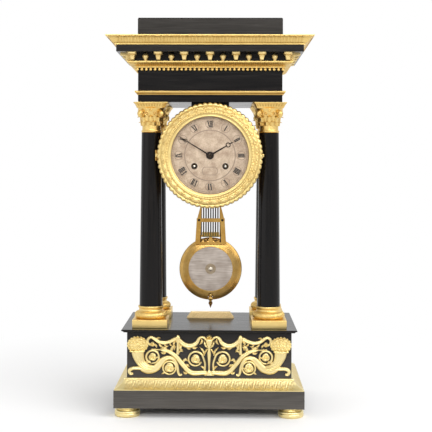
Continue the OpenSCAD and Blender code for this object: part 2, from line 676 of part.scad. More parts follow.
module dial() color(SILVER) difference() {
    spindle(centre_at, y_dial, y_flange, dial_d / 2);
    spindle(centre_at, y_dial - 1, y_flange + 1, pipe_r + 0.6);
    for (at = [going_at, strike_at]) spindle(at, y_dial - 1, y_flange + 1, winding_hole_d / 2);
}

// Gilt bezel: rabbet for the glass, leafed slope outside, ridge, beaded slope inside
glass_seat = bezel_t * 0.66;
module bezel() color(GILT) in_head() {
    r = bezel_d / 2;
    rabbet = dial_d / 2 + 0.6;
    bore = bezel_bore_d / 2;
    ridge = (r + bore) / 2 + 1.2;
    difference() {
        turned_about_y() polygon([for (p = concat([[rabbet, 0], [r - 1.2, 0], [r, 1.2]],
            [for (a = [0 : 15 : 75]) [ridge + 1 + (r - ridge - 1) * cos(a), bezel_t * (0.3 + 0.66 * sin(a))]],
            [[ridge + 1, bezel_t * 0.97], [ridge, bezel_t], [ridge - 1.4, bezel_t * 0.95],
            [ridge - 2.2, bezel_t * 0.8], [bore + 2, bezel_t * 0.86], [bore, bezel_t * 0.76],
            [bore, glass_seat], [rabbet, glass_seat]])) [p.x, y_bezel - p.y]]);
        translate([hinge_x, hinge_y, -2 * knuckle_h]) cylinder(r = knuckle_r + 0.35, h = 4 * knuckle_h);
    }
    difference() {
        union() {
            translate([hinge_x, hinge_y, -knuckle_h / 2]) cylinder(r = knuckle_r, h = knuckle_h);
            translate([hinge_x, hinge_y - 0.9, -knuckle_h / 2]) cube([4, 1.8, knuckle_h]);
        }
        hinge_bore(pin_r + running);
    }
    translate([r - 1.5, y_bezel - 3, -2]) cube([3.6, 1.6, 4]);
}

module bezel_glass() color("#e8eef0", 0.25)
    spindle(centre_at, y_bezel - glass_seat, y_bezel - glass_seat + glass_t, dial_d / 2 + 0.5);

module hinge_pin() color(BRASS) in_head() translate([hinge_x, hinge_y, -1.5 * knuckle_h - 1])
    cylinder(r = pin_r, h = 3 * knuckle_h + 2);

// Straight-sided strip, from half width a at height y0 to b at y1
module taper(a, y0, b, y1) polygon([[-a, y0], [a, y0], [b, y1], [-b, y1]]);

// Moon hand pointing to twelve: tapered blade with an open ring near its point
module moon_hand(reach, hub, wide) {
    ring_at = reach * 0.8;
    ring_r = wide * 1.1;
    difference() {
        union() {
            circle(hub);
            taper(wide * 0.55, 0, wide * 0.3, ring_at - ring_r * 0.8);
            translate([0, ring_at]) circle(ring_r);
            taper(wide * 0.4, ring_at + ring_r * 0.85, 0.15, reach);
        }
        translate([0, ring_at - ring_r * 0.12]) circle(ring_r * 0.66);
    }
}

module minute_hand() color(BLUED) difference() {
    in_head() front_view(y_minute, y_minute + hand_t) rotate(-minute_angle) moon_hand(minute_hand_r, 3.4, 2);
    spindle(centre_at, y_minute - 1, y_minute + 1 + hand_t, cannon_r + close_fit);
}

module hour_hand() color(BLUED) difference() {
    in_head() front_view(y_hour, y_hour + hand_t) rotate(-hour_angle) moon_hand(hour_hand_r, 4.2, 2.6);
    spindle(centre_at, y_hour - 1, y_hour + 1 + hand_t, pipe_r + close_fit);
}

module hand_collet() color(BLUED) difference() {
    in_head() translate([0, y_minute, 0]) turned_about_y() polygon(concat([[0, 0]],
        [for (a = [0 : 15 : 90]) [3 * cos(a), -collet_h * sin(a)]]));
    spindle(centre_at, y_minute - 2 * collet_h, y_minute + 1, centre_r + close_fit);
}

// Movement: wheels turn about lines along Y
module gear(teeth, m, phase) polygon([for (i = [0 : teeth - 1]) for (k = TOOTH)
    polar(teeth * m / 2 + k.y * m, phase + (i + k.x) * 360 / teeth)]);

// Windows between the arms of a wheel
module crossings(hub, rim, arms, arm_w) difference() {
    circle(rim);
    circle(hub);
    for (k = [0 : arms - 1]) rotate(k * 360 / arms) translate([0, -arm_w / 2]) square([rim + 1, arm_w]);
}

module wheel(at, teeth, m, phase, y, t, arms) in_head() front_view(y, y + t) translate(at) difference() {
    gear(teeth, m, phase);
    if (arms > 0) crossings(teeth * m * 0.13 + 1, teeth * m / 2 - 2.6 * m - 0.6, arms, 1.4);
}

module pinion(at, leaves, m, phase, y0, y1) in_head() front_view(y0, y1) translate(at) gear(leaves, m, phase);

// Arbor with a pivot in each plate
pivot_r = 0.5;
shake = 0.3;
module arbor(at) {
    spindle(at, y_front + shake, y_back - shake, arbor_r);
    spindle(at, y_plate + 0.4, y_rear - 0.4, pivot_r);
}

pivot_places = [second_at, third_at, escape_at, strike_second_at, pin_at, warning_at, fly_at, hammer_at];
module plate(y) difference() {
    spindle(centre_at, y, y + plate_t, plate_d / 2);
    for (at = pivot_places) spindle(at, y - 1, y + plate_t + 1, pivot_r + running);
    for (at = [going_at, strike_at]) spindle(at, y - 1, y + plate_t + 1, winding_r + running);
}

module front_plate() color(BRASS) {
    difference() {
        plate(y_plate);
        spindle(centre_at, y_plate - 1, y_front + 1, centre_r + running);
        spindle(anchor_at, y_plate - 1, y_front + 1, pivot_r + running);
    }
    spindle(motion_at, y_flange + 1.6, y_plate + 0.5, arbor_r);
}

module back_plate() color(BRASS) difference() {
    plate(y_back);
    spindle(centre_at, y_back - 1, y_rear + 1, pivot_r + running);
    spindle(anchor_at, y_back - 1, y_rear + 1, 2.4);
    for (at = [strike_second_at, hammer_at]) spindle(at, y_back - 1, y_rear + 1, arbor_r + running);
}

module pillars() color(BRASS) for (at = pillar_places) {
    spindle(at, y_front, y_back, 2.4);
    spindle(at, y_front + plate_gap * 0.3, y_front + plate_gap * 0.7, 3);
}

// Spring barrel: drum with the great wheel on its front, turning on the winding arbor
winding_r = 2.4;
module barrel(at) color(BRASS) difference() {
    union() {
        wheel(at, great_teeth, great_m, 0, y_great_wheel, great_t, 0);
        spindle(at, y_great_wheel + great_t - 0.1, y_great_wheel + great_t + barrel_h, barrel_r);
    }
    spindle(at, y_front, y_back, winding_r + running);
}

module going_barrel() barrel(going_at);
module strike_barrel() barrel(strike_at);

module winding_arbor(at) color(STEEL) {
    spindle(at, y_flange + 2, y_rear - 0.4, winding_r);
    in_head() front_view(y_dial + 0.4, y_flange + 2.1) translate(at) square(winding_square, center = true);
}

module going_arbor() winding_arbor(going_at);
module strike_arbor() winding_arbor(strike_at);

module second_wheel() color(BRASS) {
    arbor(second_at);
    wheel(second_at, second_teeth, second_m, 0, y_second_wheel, wheel_t, 5);
    pinion(second_at, second_leaves, great_m, second_phase, y_great_wheel - 1.6,
        y_great_wheel + great_t + 1.6);
}

// The centre arbor reaches through the dial and carries the hands
module centre_wheel() color(BRASS) {
    spindle(centre_at, y_minute - collet_h, y_front + 1, centre_r);
    spindle(centre_at, y_front + shake, y_back - shake, centre_r);
    spindle(centre_at, y_back - 1, y_rear - 0.4, pivot_r);
    wheel(centre_at, centre_teeth, centre_m, 0, y_centre_wheel, wheel_t, 5);
    pinion(centre_at, centre_leaves, second_m, centre_phase, y_second_wheel - 2,
        y_second_wheel + wheel_t + 2);
}

module third_wheel() color(BRASS) {
    arbor(third_at);
    wheel(third_at, third_teeth, third_m, 0, y_third_wheel, wheel_t, 5);
    pinion(third_at, third_leaves, centre_m, third_phase, y_centre_wheel - 1, y_centre_wheel + wheel_t + 1.5);
}

module escape_wheel() color(BRASS) {
    arbor(escape_at);
    in_head() front_view(y_escape_wheel, y_escape_wheel + 1.2) translate(escape_at) difference() {
        polygon([for (i = [0 : escape_teeth - 1]) for (k = [[0, 1], [0.12, 1], [0.5, 0.84], [0.8, 0.82]])
            polar(escape_r * k.y, (i + k.x) * 360 / escape_teeth)]);
        crossings(escape_r * 0.3, escape_r * 0.7, 4, 1.2);
    }
    pinion(escape_at, escape_leaves, third_m, escape_phase, y_third_wheel - 2, y_third_wheel + wheel_t + 2);
}

// Motion work between the front plate and the dial
y_motion = y_plate - 2.8;
module cannon_pinion() color(STEEL) difference() {
    union() {
        spindle(centre_at, y_minute, y_plate - 0.5, cannon_r);
        pinion(centre_at, cannon_teeth, cannon_m, 0, y_motion - 0.3, y_plate - 0.6);
    }
    spindle(centre_at, y_minute - 1, y_plate + 1, centre_r + running);
}

module minute_wheel() color(BRASS) difference() {
    union() {
        wheel(motion_at, minute_teeth, cannon_m, minute_phase, y_motion, 1.4, 4);
        pinion(motion_at, minute_leaves, hour_m, 0, y_motion - 3.6, y_motion + 0.1);
    }
    spindle(motion_at, y_flange, y_plate, arbor_r + running);
}

module hour_wheel() color(BRASS) difference() {
    union() {
        spindle(centre_at, y_hour, y_motion - 1, pipe_r);
        wheel(centre_at, hour_teeth, hour_m, hour_phase, y_motion - 3, 1.4, 4);
    }
    spindle(centre_at, y_hour - 1, y_motion, cannon_r + running);
}

// Striking train
module strike_second_wheel() color(BRASS) {
    spindle(strike_second_at, y_front + shake, y_rear + 4.4, arbor_r);
    spindle(strike_second_at, y_plate + 0.4, y_front + 1, pivot_r);
    wheel(strike_second_at, strike_teeth, strike_m, 0, y_strike_wheel, wheel_t, 4);
    pinion(strike_second_at, second_leaves, great_m, strike_second_phase, y_great_wheel - 1.6,
        y_great_wheel + great_t + 1.6);
}

module pin_wheel() color(BRASS) {
    arbor(pin_at);
    wheel(pin_at, pin_teeth, pin_m, 0, y_pin_wheel, wheel_t, 0);
    pinion(pin_at, pin_leaves, strike_m, pin_phase, y_strike_wheel - 1, y_strike_wheel + wheel_t + 1);
    for (k = [0 : 9]) spindle(pin_at + polar(pin_teeth * pin_m / 2 - 2.4, k * 36),
        y_pin_wheel + wheel_t - 0.1, y_pin_wheel + wheel_t + 3, pivot_r);
}

module warning_wheel() color(BRASS) {
    arbor(warning_at);
    wheel(warning_at, warning_teeth, warning_m, 0, y_warning_wheel, 1.2, 4);
    pinion(warning_at, warning_leaves, pin_m, warning_phase, y_pin_wheel - 1.5, y_pin_wheel + wheel_t + 1.5);
}

module fly() color(BRASS) {
    arbor(fly_at);
    pinion(fly_at, fly_leaves, warning_m, fly_phase, y_warning_wheel - 1.5, y_warning_wheel + 2.7);
    in_head() front_view(y_front + 3, y_front + 14) translate(fly_at) rotate(30)
        square([12, 0.6], center = true);
}

// Count wheel on the rear of the striking train: one notch after each hour's blows
module count_wheel() color(BRASS) {
    count_r = 20;
    y_count = y_rear + 1.6;
    difference() {
        in_head() front_view(y_count, y_count + 1.2) translate(strike_second_at) difference() {
            circle(count_r);
            for (k = [1 : 12]) rotate(4 * (k * (k + 1) / 2 + k)) translate([count_r - 1.8, -0.8])
                square([3, 1.6]);
            crossings(5, count_r - 5, 4, 2.4);
        }
        spindle(strike_second_at, y_rear, y_rear + 6, arbor_r + close_fit);
    }
}

// Hammer: arbor through both plates, arm behind the back plate, head beside the bell
y_bell = y_pendulum + 6.4;
module hammer() color(STEEL) {
    head_at = polar(bell_d / 2 + 4.6, 140);
    y_arm = y_bell + 3;
    spindle(hammer_at, y_front + shake, y_arm + 2, arbor_r);
    spindle(hammer_at, y_plate + 0.4, y_front + 1, pivot_r);
    in_head() front_view(y_arm, y_arm + 2) {
        ribbon([[hammer_at.x, hammer_at.y, 2.6], [head_at.x, head_at.y, 2]]);
        translate(hammer_at) circle(2.2);
    }
    spindle(head_at, y_arm - 3, y_arm + 5, 4);
}

bell_hole_r = 2;
module bell() color(BRASS) in_head() difference() {
    r = bell_d / 2;
    turned_about_y() polygon(concat(
        [for (a = [0 : 10 : 90]) [r * pow(cos(a), 0.7), y_bell + bell_h * sin(a)]],
        [for (a = [90 : -10 : 0]) [(r - bell_wall) * pow(cos(a), 0.7),
            y_bell + (bell_h - bell_wall) * sin(a)]]));
    translate([0, y_bell, 0]) rotate([-90, 0, 0]) cylinder(r = bell_hole_r, h = bell_h + 1);
}

// Post from the back plate, arm behind the bell, and the screw and nut that clamp the bell's crown
module bell_stand() color(STEEL) {
    boss = 4;
    arm_t = 2.6;
    nut_t = 2.9;
    y_crown = y_bell + bell_h;
    y_nut = y_crown - bell_wall - 0.1;
    spindle(post_at, y_rear, y_crown + arm_t, 2.2);
    in_head() front_view(y_crown + 0.1, y_crown + arm_t) ribbon([[post_at.x, post_at.y, 4.4], [0, 0, 6]]);
    spindle(centre_at, y_crown - 0.04, y_crown + arm_t, boss);
    spindle(centre_at, y_nut - nut_t, y_crown + 1, bell_hole_r - 0.1);
    spindle(centre_at, y_nut - nut_t, y_nut, boss);
}

// Pallets, their arbor and the crutch that hangs from it to the pendulum
y_crutch = y_rear + 3.6;
crutch_down = 62;
module anchor() color(STEEL) {
    spindle(anchor_at, y_front + shake, y_crutch + 1.4, arbor_r);
    spindle(anchor_at, y_plate + 0.4, y_cock + 1.2, pivot_r);
    in_head() front_view(y_escape_wheel - 1, y_escape_wheel + 2.2) translate(anchor_at) {
        ribbon(smooth([[-5.7, -3.2, 0.8], [-6.4, -1, 1.7], [-3.6, 1.3, 2], [0, 1.6, 2.4], [3.6, 1.3, 2],
            [6.4, -1, 1.7], [5.7, -3.2, 0.8]], 3));
        circle(1.9);
    }
    fork = hook_w / 2 + 0.4;
    in_head() {
        front_view(y_crutch, y_crutch + 1.4) translate(anchor_at) {
            circle(2);
            translate([-0.9, -crutch_down]) square([1.8, crutch_down]);
            translate([-fork - 1.4, -crutch_down - 1.6]) square([2 * fork + 2.8, 3.2]);
        }
        front_view(y_crutch, y_pendulum + 2.4) translate(anchor_at) for (s = [0, 1]) mirror([s, 0])
            translate([fork, -crutch_down - 1.6]) square([1.4, 3.2]);
    }
}

// Cock on the back plate: holds the anchor's rear pivot and the pin of the suspension
y_cock = y_rear + 8;
cock_half = 8;
module suspension_cock() color(BRASS) {
    cheek = 1.6;
    cheek_gap = 5;
    difference() {
        in_head() translate([0, 0, anchor_at.y]) {
            front_view(y_cock, y_cock + 2) translate([-cock_half - 2, -4]) square([2 * cock_half + 4, 10]);
            for (s = [-1, 1]) translate([s * (cock_half - 1) - 1, y_cock, -2.5])
                cube([2, y_pendulum + cheek_gap / 2 + cheek - y_cock, 7]);
            for (y = [y_pendulum - cheek_gap / 2 - cheek, y_pendulum + cheek_gap / 2])
                translate([-cock_half, y, -2.5]) cube([2 * cock_half, cheek, 7]);
        }
        spindle(anchor_at, y_cock - 1, y_cock + 1.6, pivot_r + running);
        spindle(anchor_at, y_pendulum - 8, y_pendulum + 8, suspension_pin_r + running);
    }
    for (s = [-1, 1]) spindle(anchor_at + [s * cock_half, 4], y_rear, y_cock + 0.1, 1.9);
}

// Suspension: pin in the cock, thin spring strip, and the lower block that the pendulum hooks on
suspension_pin_r = 0.8;
module suspension_spring() color(STEEL) in_head() translate([0, 0, anchor_at.y]) {
    translate([0, y_pendulum - 4, 0]) rotate([-90, 0, 0]) cylinder(r = suspension_pin_r, h = 8);
    translate([-0.2, y_pendulum - 2, -spring_h]) cube([0.4, 4, spring_h]);
    translate([-1.6, y_pendulum - 2, -spring_h - 4]) cube([3.2, 4, 4.2]);
}

// Brass frame of the gridiron: hook strip and top bar, then in front of the bob's edge the side strips,
// cross bar and foot bar, and the comb with the rod that carries the bob
frame_y0 = -bob_t / 2 - 1.6;
frame_y1 = -bob_t / 2 + 0.2;
comb_half = rod_span / 2 - rod_pitch + rod_d;
z_lug = z_bob + bob_d / 2 + 1;
lug_h = 2.4;
module gridiron_frame() color(BRASS) translate([0, y_pendulum, 0]) {
    half = frame_half;
    outer = rod_span / 2;
    hook_top = z_anchor - spring_h - 4;
    bar_y1 = rod_d / 2 + 1.5;
    bridge = 3.4;
    front_view(-0.8, 0.8) translate([-hook_w / 2, z_topbar]) square([hook_w, hook_top - z_topbar]);
    front_view(frame_y0, bar_y1) translate([-outer - 1.6, z_topbar]) square([2 * outer + 3.2, topbar_h]);
    front_view(frame_y0, bar_y1) translate([-comb_half, z_comb]) square([2 * comb_half, comb_h]);
    front_view(frame_y0, frame_y1) {
        translate([1.9 - half, z_crossbar]) square([2 * half - 3.8, crossbar_h]);
        translate([-half, z_frame]) square([2 * half, 3]);
        polygon([[-bridge, z_frame], [bridge, z_frame], [bridge / 2, z_comb + 1], [-bridge / 2, z_comb + 1]]);
        for (s = [0, 1]) mirror([s, 0]) polygon([[half, z_frame], [half - 2, z_crossbar + 2],
            [outer + 1.2, z_shoulder], [outer + 1.2, z_topbar + 1], [outer - 0.6, z_topbar + 1],
            [outer - 0.6, z_shoulder - 2], [half - 8, z_crossbar], [half - 6.6, z_frame]]);
    }
    for (s = [-1, 1]) translate([s * outer - rod_d, frame_y0, z_lug])
        cube([2 * rod_d, bar_y1 - frame_y0, lug_h]);
    translate([0, 0, z_bob - bob_d / 2 - tip_h]) {
        cylinder(r1 = 0.15, r2 = tip_r, h = tip_cone_h);
        translate([0, 0, tip_cone_h - 0.05]) cylinder(r1 = tip_r, r2 = bob_rod_r, h = tip_cap_h);
        translate([0, 0, tip_cone_h])
            cylinder(r = bob_rod_r, h = z_comb + 0.1 - z_bob + bob_d / 2 + tip_h - tip_cone_h);
    }
}

// Rods between the top bar and the comb; the outer pair stands on lugs of the side strips
module gridiron_rods() color(STEEL) for (k = [0 : rod_count - 1]) {
    x = (k - (rod_count - 1) / 2) * rod_pitch;
    z0 = k % (rod_count - 1) == 0 ? z_lug + lug_h : z_comb + comb_h;
    translate([x, y_pendulum, z0]) cylinder(d = rod_d, h = z_topbar - z0);
}

// Lens-shaped bob with a seat for the silvered disc and a slot for the rating nut
disc_seat = 1.4;
boss_r = 2.6;
module bob() color(BRASS) difference() {
    disc = bob_disc_d / 2;
    half = bob_t / 2;
    translate([0, y_pendulum, z_bob]) turned_about_y() polygon([[0, -half], [boss_r, -half],
        [boss_r, disc_seat - half], [disc, disc_seat - half], [disc, -half], [disc + 1.5, 0.1 - half],
        [bob_d / 2 - 1, -1.6], [bob_d / 2, -0.8], [bob_d / 2, 0.8], [bob_d / 2 - 1, 1.6],
        [disc, half], [0, half]]);
    translate([0, y_pendulum, z_bob - bob_d / 2 - 1]) cylinder(r = bob_rod_r + close_fit, h = bob_d + 2);
    front_view(y_pendulum - bob_t, y_pendulum + bob_t) {
        translate([0, z_nut]) circle(nut_r + nut_gap);
        translate([0, z_nut + nut_step]) circle(nut_cap_r + nut_gap);
    }
}

module bob_disc() color(SILVER) translate([0, y_pendulum, z_bob]) turned_about_y()
    translate([boss_r + close_fit, -bob_t / 2 + 0.2])
        square([bob_disc_d / 2 - boss_r - 2 * close_fit, disc_seat - 0.2]);

// Two knurled balls in one piece
module rating_nut() color(BRASS) translate([0, y_pendulum, z_nut]) difference() {
    union() {
        sphere(nut_r);
        translate([0, 0, nut_step]) sphere(nut_cap_r);
    }
    translate([0, 0, -nut_r - 1]) cylinder(r = bob_rod_r + running, h = nut_step + nut_r + nut_cap_r + 2);
}

feet();
plinth();
base_moulding();
die();
slab();
scroll_mount();
beat_plate();
column_front_left();
column_front_right();
column_rear_left();
column_rear_right();
column_bases();
capitals();
tie_rods();
entablature_box();
architrave_fillet();
bead_moulding();
corona();
frieze_studs();
cornice_moulding();
attic_block();
drum();
drum_saddle();
dial();
bezel();
bezel_glass();
hinge_pin();
minute_hand();
hour_hand();
hand_collet();
front_plate();
back_plate();
pillars();
going_barrel();
going_arbor();
second_wheel();
centre_wheel();
third_wheel();
escape_wheel();
cannon_pinion();
minute_wheel();
hour_wheel();
strike_barrel();
strike_arbor();
strike_second_wheel();
pin_wheel();
warning_wheel();
fly();
count_wheel();
hammer();
bell();
bell_stand();
anchor();
suspension_cock();
suspension_spring();
gridiron_frame();
gridiron_rods();
bob();
bob_disc();
rating_nut();
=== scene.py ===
import json
import math

import bmesh
import bpy
import numpy as np
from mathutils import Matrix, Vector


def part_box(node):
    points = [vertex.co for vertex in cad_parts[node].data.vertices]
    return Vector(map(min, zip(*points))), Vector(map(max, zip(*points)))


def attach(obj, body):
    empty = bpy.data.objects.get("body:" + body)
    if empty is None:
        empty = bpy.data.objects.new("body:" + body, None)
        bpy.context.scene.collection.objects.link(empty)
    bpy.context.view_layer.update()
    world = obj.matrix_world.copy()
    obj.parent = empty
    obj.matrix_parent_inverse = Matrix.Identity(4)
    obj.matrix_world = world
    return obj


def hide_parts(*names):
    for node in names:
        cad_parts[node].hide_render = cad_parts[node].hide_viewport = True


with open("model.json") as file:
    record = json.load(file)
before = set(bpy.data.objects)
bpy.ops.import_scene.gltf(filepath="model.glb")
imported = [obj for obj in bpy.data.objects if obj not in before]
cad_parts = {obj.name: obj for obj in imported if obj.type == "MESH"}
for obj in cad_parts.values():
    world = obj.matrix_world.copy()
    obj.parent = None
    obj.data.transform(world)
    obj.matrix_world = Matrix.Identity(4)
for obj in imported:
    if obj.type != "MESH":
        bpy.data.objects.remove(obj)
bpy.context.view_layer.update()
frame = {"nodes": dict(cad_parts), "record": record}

MM = 0.001
TAU = 2 * np.pi

# Levels and places, as in the solids
Z_DIE, Z_MOUNT, Z_FLOOR, Z_CAPITAL, Z_FILLET = 34.0, 75.15, 107.5, 353.8, 401.0
Z_BEAD, Z_BAND, Z_CORNICE = 430.7, 442.2, 461.1
FOOT_X, FOOT_Y = 101.8, 68.2
COLUMN_X, COLUMN_Y = 74.9, 41.5
DIE_W, DIE_D = 205.2, 138.0
FRIEZE_W, FRIEZE_D = 181.8, 115.0
CORONA_GROWTH = 42.0
Z_HEAD, Y_BEZEL, Y_DIAL = 324.65, -54.971, -55.871
HINGE_X, CATCH_X = -67.9, 66.4
WINDING = ((19.6, -13.6), (-19.6, -13.6))
Y_HOUR, Y_MINUTE, HAND_T = -57.071, -58.271, 0.7
HOUR_ANGLE, MINUTE_ANGLE = 59.8, 301.6
Y_PENDULUM, Z_BOB = 29.329, 173.5
Y_FRAME = Y_PENDULUM - 7.8


# Curves

def ease(x):
    """0 below 0 and 1 above 1, with the smooth step 3x^2 - 2x^3 between."""
    x = np.clip(x, 0, 1)
    return x * x * (3 - 2 * x)


def ridge(x, w):
    """Bell curve of half width w round 0."""
    return np.exp(-(x / w) ** 2)


def around(n):
    """A row of n even angles round a circle."""
    return np.linspace(0, TAU, n, endpoint=False)[None, :]


def line(points, n):
    """n rows, evenly apart, on a smooth curve through the given rows: a cubic between two neighbours, whose
    slope at a row is half the way from the row before to the row after. The place is in two columns."""
    p = np.asarray(points, float)
    q = np.vstack([2 * p[0] - p[1], p, 2 * p[-1] - p[-2]])
    t = np.linspace(0, len(p) - 1, 16 * len(p))
    i = np.minimum(t.astype(int), len(p) - 2)
    f = (t - i)[:, None]
    a, b, c, d = q[i], q[i + 1], q[i + 2], q[i + 3]
    bend = f * (c - a) + f**2 * (2 * a - 5 * b + 4 * c - d) + f**3 * (3 * b - a - 3 * c + d)
    dense = b + bend / 2
    s = np.r_[0, np.cumsum(np.hypot(*np.diff(dense[:, :2], axis=0).T))]
    u = np.linspace(0, s[-1], n)
    return np.stack([np.interp(u, s, column) for column in dense.T], 1)


def run(points, step):
    """The corners of a straight-sided line with points between them, at most a step apart."""
    p = np.asarray(points, float)
    parts = [a + (b - a) * np.arange(k)[:, None] / k for a, b in zip(p, p[1:])
             for k in [max(1, math.ceil(np.hypot(*(b - a)) / step))]]
    return np.vstack(parts + [p[-1:]])


def arc(cx, cy, r, a0, a1, n):
    """n points of a circle from angle a0 to a1, in degrees."""
    a = np.radians(np.linspace(a0, a1, n))
    return np.stack([cx + r * np.cos(a), cy + r * np.sin(a)], 1)


def ogee(p, q, n):
    """n points of a swelling line from p to q, upright at both ends: half a cosine across, even steps up."""
    t = np.linspace(0, 1, n)
    return np.stack([p[0] + (q[0] - p[0]) * (1 - np.cos(np.pi * t)) / 2, p[1] + (q[1] - p[1]) * t], 1)


def spiral(cx, cy, r0, r1, a0, a1, w0, w1, n=22):
    """[x, z, width] rows of a spiral: radius and width run evenly from r0, w0 at angle a0 to r1, w1 at a1."""
    t = np.linspace(0, 1, n)
    a, r = np.radians(a0 + (a1 - a0) * t), r0 + (r1 - r0) * t
    return np.stack([cx + r * np.cos(a), cy + r * np.sin(a), w0 + (w1 - w0) * t], 1)


def oblong(x0, x1, z0, z1):
    """The four corners of an upright rectangle."""
    return [[x0, z0], [x1, z0], [x1, z1], [x0, z1]]


def joined(*parts):
    """A profile from (points, cast) parts; t runs from 0 to 1 along a cast part and is -1 on plain ones."""
    t = [np.linspace(0, 1, len(p)) if cast else np.full(len(p), -1.0) for p, cast in parts]
    return np.vstack([p for p, _ in parts]), np.concatenate(t)


def outward(p):
    """Unit normals on the right of a profile's way."""
    d = np.gradient(p, axis=0)
    n = np.stack([d[:, 1], -d[:, 0]], 1)
    return n / np.maximum(np.hypot(*n.T), 1e-9)[:, None]


# Shells: a grid of points, whether each way joins round, and how hollow the relief is (0 proud, 1 deep), by
# which the gilt finishes paint shade

def shell(points, round_u=False, round_v=True, hollow=0.0):
    """A grid of points with its hollowness spread over it."""
    return points, round_u, round_v, np.broadcast_to(np.asarray(hollow, float), points.shape[:2])


def capped(s):
    """The shell with both open ends closed to their middles."""
    p, _, round_v, hollow = s
    ends = [np.broadcast_to(p[i].mean(0), p[i].shape)[None] for i in (0, -1)]
    return shell(np.concatenate([ends[0], p, ends[1]]), False, round_v,
                 np.concatenate([hollow[:1], hollow, hollow[-1:]]))


def moved(shells, x=0.0, y=0.0, z=0.0, by=np.eye(3)):
    """Shells turned by a matrix, then moved."""
    return [(p @ by + (x, y, z), *rest) for p, *rest in shells]


def swung(shells, degrees):
    """Shells turned about the upright line through the origin."""
    c, s = math.cos(math.radians(degrees)), math.sin(math.radians(degrees))
    return moved(shells, by=np.array([[c, s, 0], [-s, c, 0], [0, 0, 1]]))


def faced(shells, degrees):
    """Shells turned clockwise in the front view about the line through the origin along y."""
    c, s = math.cos(math.radians(degrees)), math.sin(math.radians(degrees))
    return moved(shells, by=np.array([[c, 0, -s], [0, 1, 0], [s, 0, c]]))


def mirrored(shells):
    """Shells with the left and right sides changed over."""
    return moved(shells, by=np.diag([-1, 1, 1]))


def corners(shells, x, y):
    """The same shells at four corners, x and y from the middle."""
    return [s for px in (-x, x) for py in (-y, y) for s in moved(shells, px, py)]


def turned(profile, n, relief=None, hollow=0.0, face=False, whole=False):
    """A turned form: profile rows are [radius, height], relief moves the surface along its normal, and face
    turns the height towards the viewer. whole joins the profile's last row to its first."""
    a = around(n)
    lift = np.zeros((len(profile), n)) if relief is None else relief
    side = outward(profile)
    r = np.maximum(profile[:, :1] + side[:, :1] * lift, 0)
    h = profile[:, 1:] + side[:, 1:] * lift
    x, y = r * np.cos(a), r * np.sin(a)
    p = np.stack([y, -h, x] if face else [x, y, h], -1)
    return shell(p, whole, True, np.broadcast_to(hollow, lift.shape))


def flat_ring(r0, r1, y0, y1, n=180):
    """A flat ring in the front view between two radii and two depths."""
    return turned(np.array(oblong(r0, r1, -y1, -y0)), n, face=True, whole=True)


def board(w, d, z0, z1, edge):
    """A board with rounded edges: a rounded rectangle whose outline draws in by a quarter circle at the top
    and the bottom."""
    q = np.radians(np.linspace(0, 90, 5))
    inset = np.r_[edge * (1 - np.sin(q)), edge * (1 - np.cos(q))]
    level = np.r_[z0 + edge * (1 - np.cos(q)), z1 - edge + edge * np.sin(q)]
    a = np.radians(np.concatenate([np.linspace(k, k + 90, 5) for k in (0, 90, 180, 270)]))
    sx = np.repeat([1, -1, -1, 1], 5) * (w / 2 - edge)
    sy = np.repeat([1, 1, -1, -1], 5) * (d / 2 - edge)
    out = edge - inset[:, None]
    x, y = sx + out * np.cos(a), sy + out * np.sin(a)
    return capped(shell(np.stack([x, y, np.broadcast_to(level[:, None], x.shape)], -1)))


def moulding(w, d, profile, t, cast, depth, step=0.45):
    """A ring of moulding mitred at its corners: the closed profile of [out, height] rows runs along the four
    sides. cast(distance, t) gives the relief from 0 to 1 where t is not -1, sunk by the depth below 1, and it
    fades out at the mitres."""
    side = outward(np.vstack([profile[-1:], profile, profile[:1]]))[1:-1]
    rows, hollows = [], []
    for turn, (length, across) in enumerate(((w, d), (d, w), (w, d), (d, w))):
        n = max(int(length / step), 12)
        s = (np.arange(n) / n * 2 - 1)[:, None]
        along = s * (length / 2 + profile[:, 0])
        fade = ease((length / 2 - np.abs(along)) / 3 + 1) * (t >= 0)
        # Painted shade: the sunk part is kept as hollowness, which the gilt darkens
        low = (1 - np.clip(cast(along, np.maximum(t, 0)[None, :]), 0, 1)) * fade
        out = across / 2 + profile[:, 0] - depth * low * side[:, 0]
        z = profile[:, 1] - depth * low * side[:, 1]
        rows.append(swung([shell(np.stack([along, -out, z], -1))], 90 * turn)[0][0])
        hollows.append(low)
    return shell(np.concatenate(rows), True, True, np.concatenate(hollows))


def stem(points, tall, n, across=11, groove=0.25, lobes=0, flutes=0, back=0.0):
    """A stem or leaf lying on an upright face: half an oval carried along a curve of [x, z, width], with a
    groove along its back, scalloped edges and flutes where asked; it closes to a point at both ends."""
    p = line(points, n)
    t = np.linspace(0, 1, n)[:, None]
    d = np.gradient(p[:, :2], axis=0)
    d /= np.maximum(np.hypot(*d.T), 1e-9)[:, None]
    a = np.linspace(0, np.pi, across)[None, :]
    half = p[:, 2:] / 2 * (1 - 0.3 * np.abs(np.sin(lobes * np.pi * t)))
    up = np.sin(a) ** 0.7 * (1 - groove * ridge(a - np.pi / 2, 0.3))
    if flutes:
        up = up * (1 + 0.1 * np.cos(flutes * a))
    if lobes:
        up = up * (1 - 0.25 * np.abs(np.sin(lobes * np.pi * t + 2 * np.abs(np.cos(a)))))
    rise = tall * np.sqrt(p[:, 2:] / p[:, 2].max()) * up
    x = p[:, :1] + d[:, 1:] * half * np.cos(a)
    z = p[:, 1:2] - d[:, :1] * half * np.cos(a)
    # Painted shade: the hollowness rises towards the stem's edges, so the gilt darkens them like an outline
    # of shadow
    hollow = 0.6 * np.clip(1 - 1.15 * up, 0, 1) * np.ones_like(x)
    return capped(shell(np.stack([x, back - rise, z], -1), hollow=hollow))


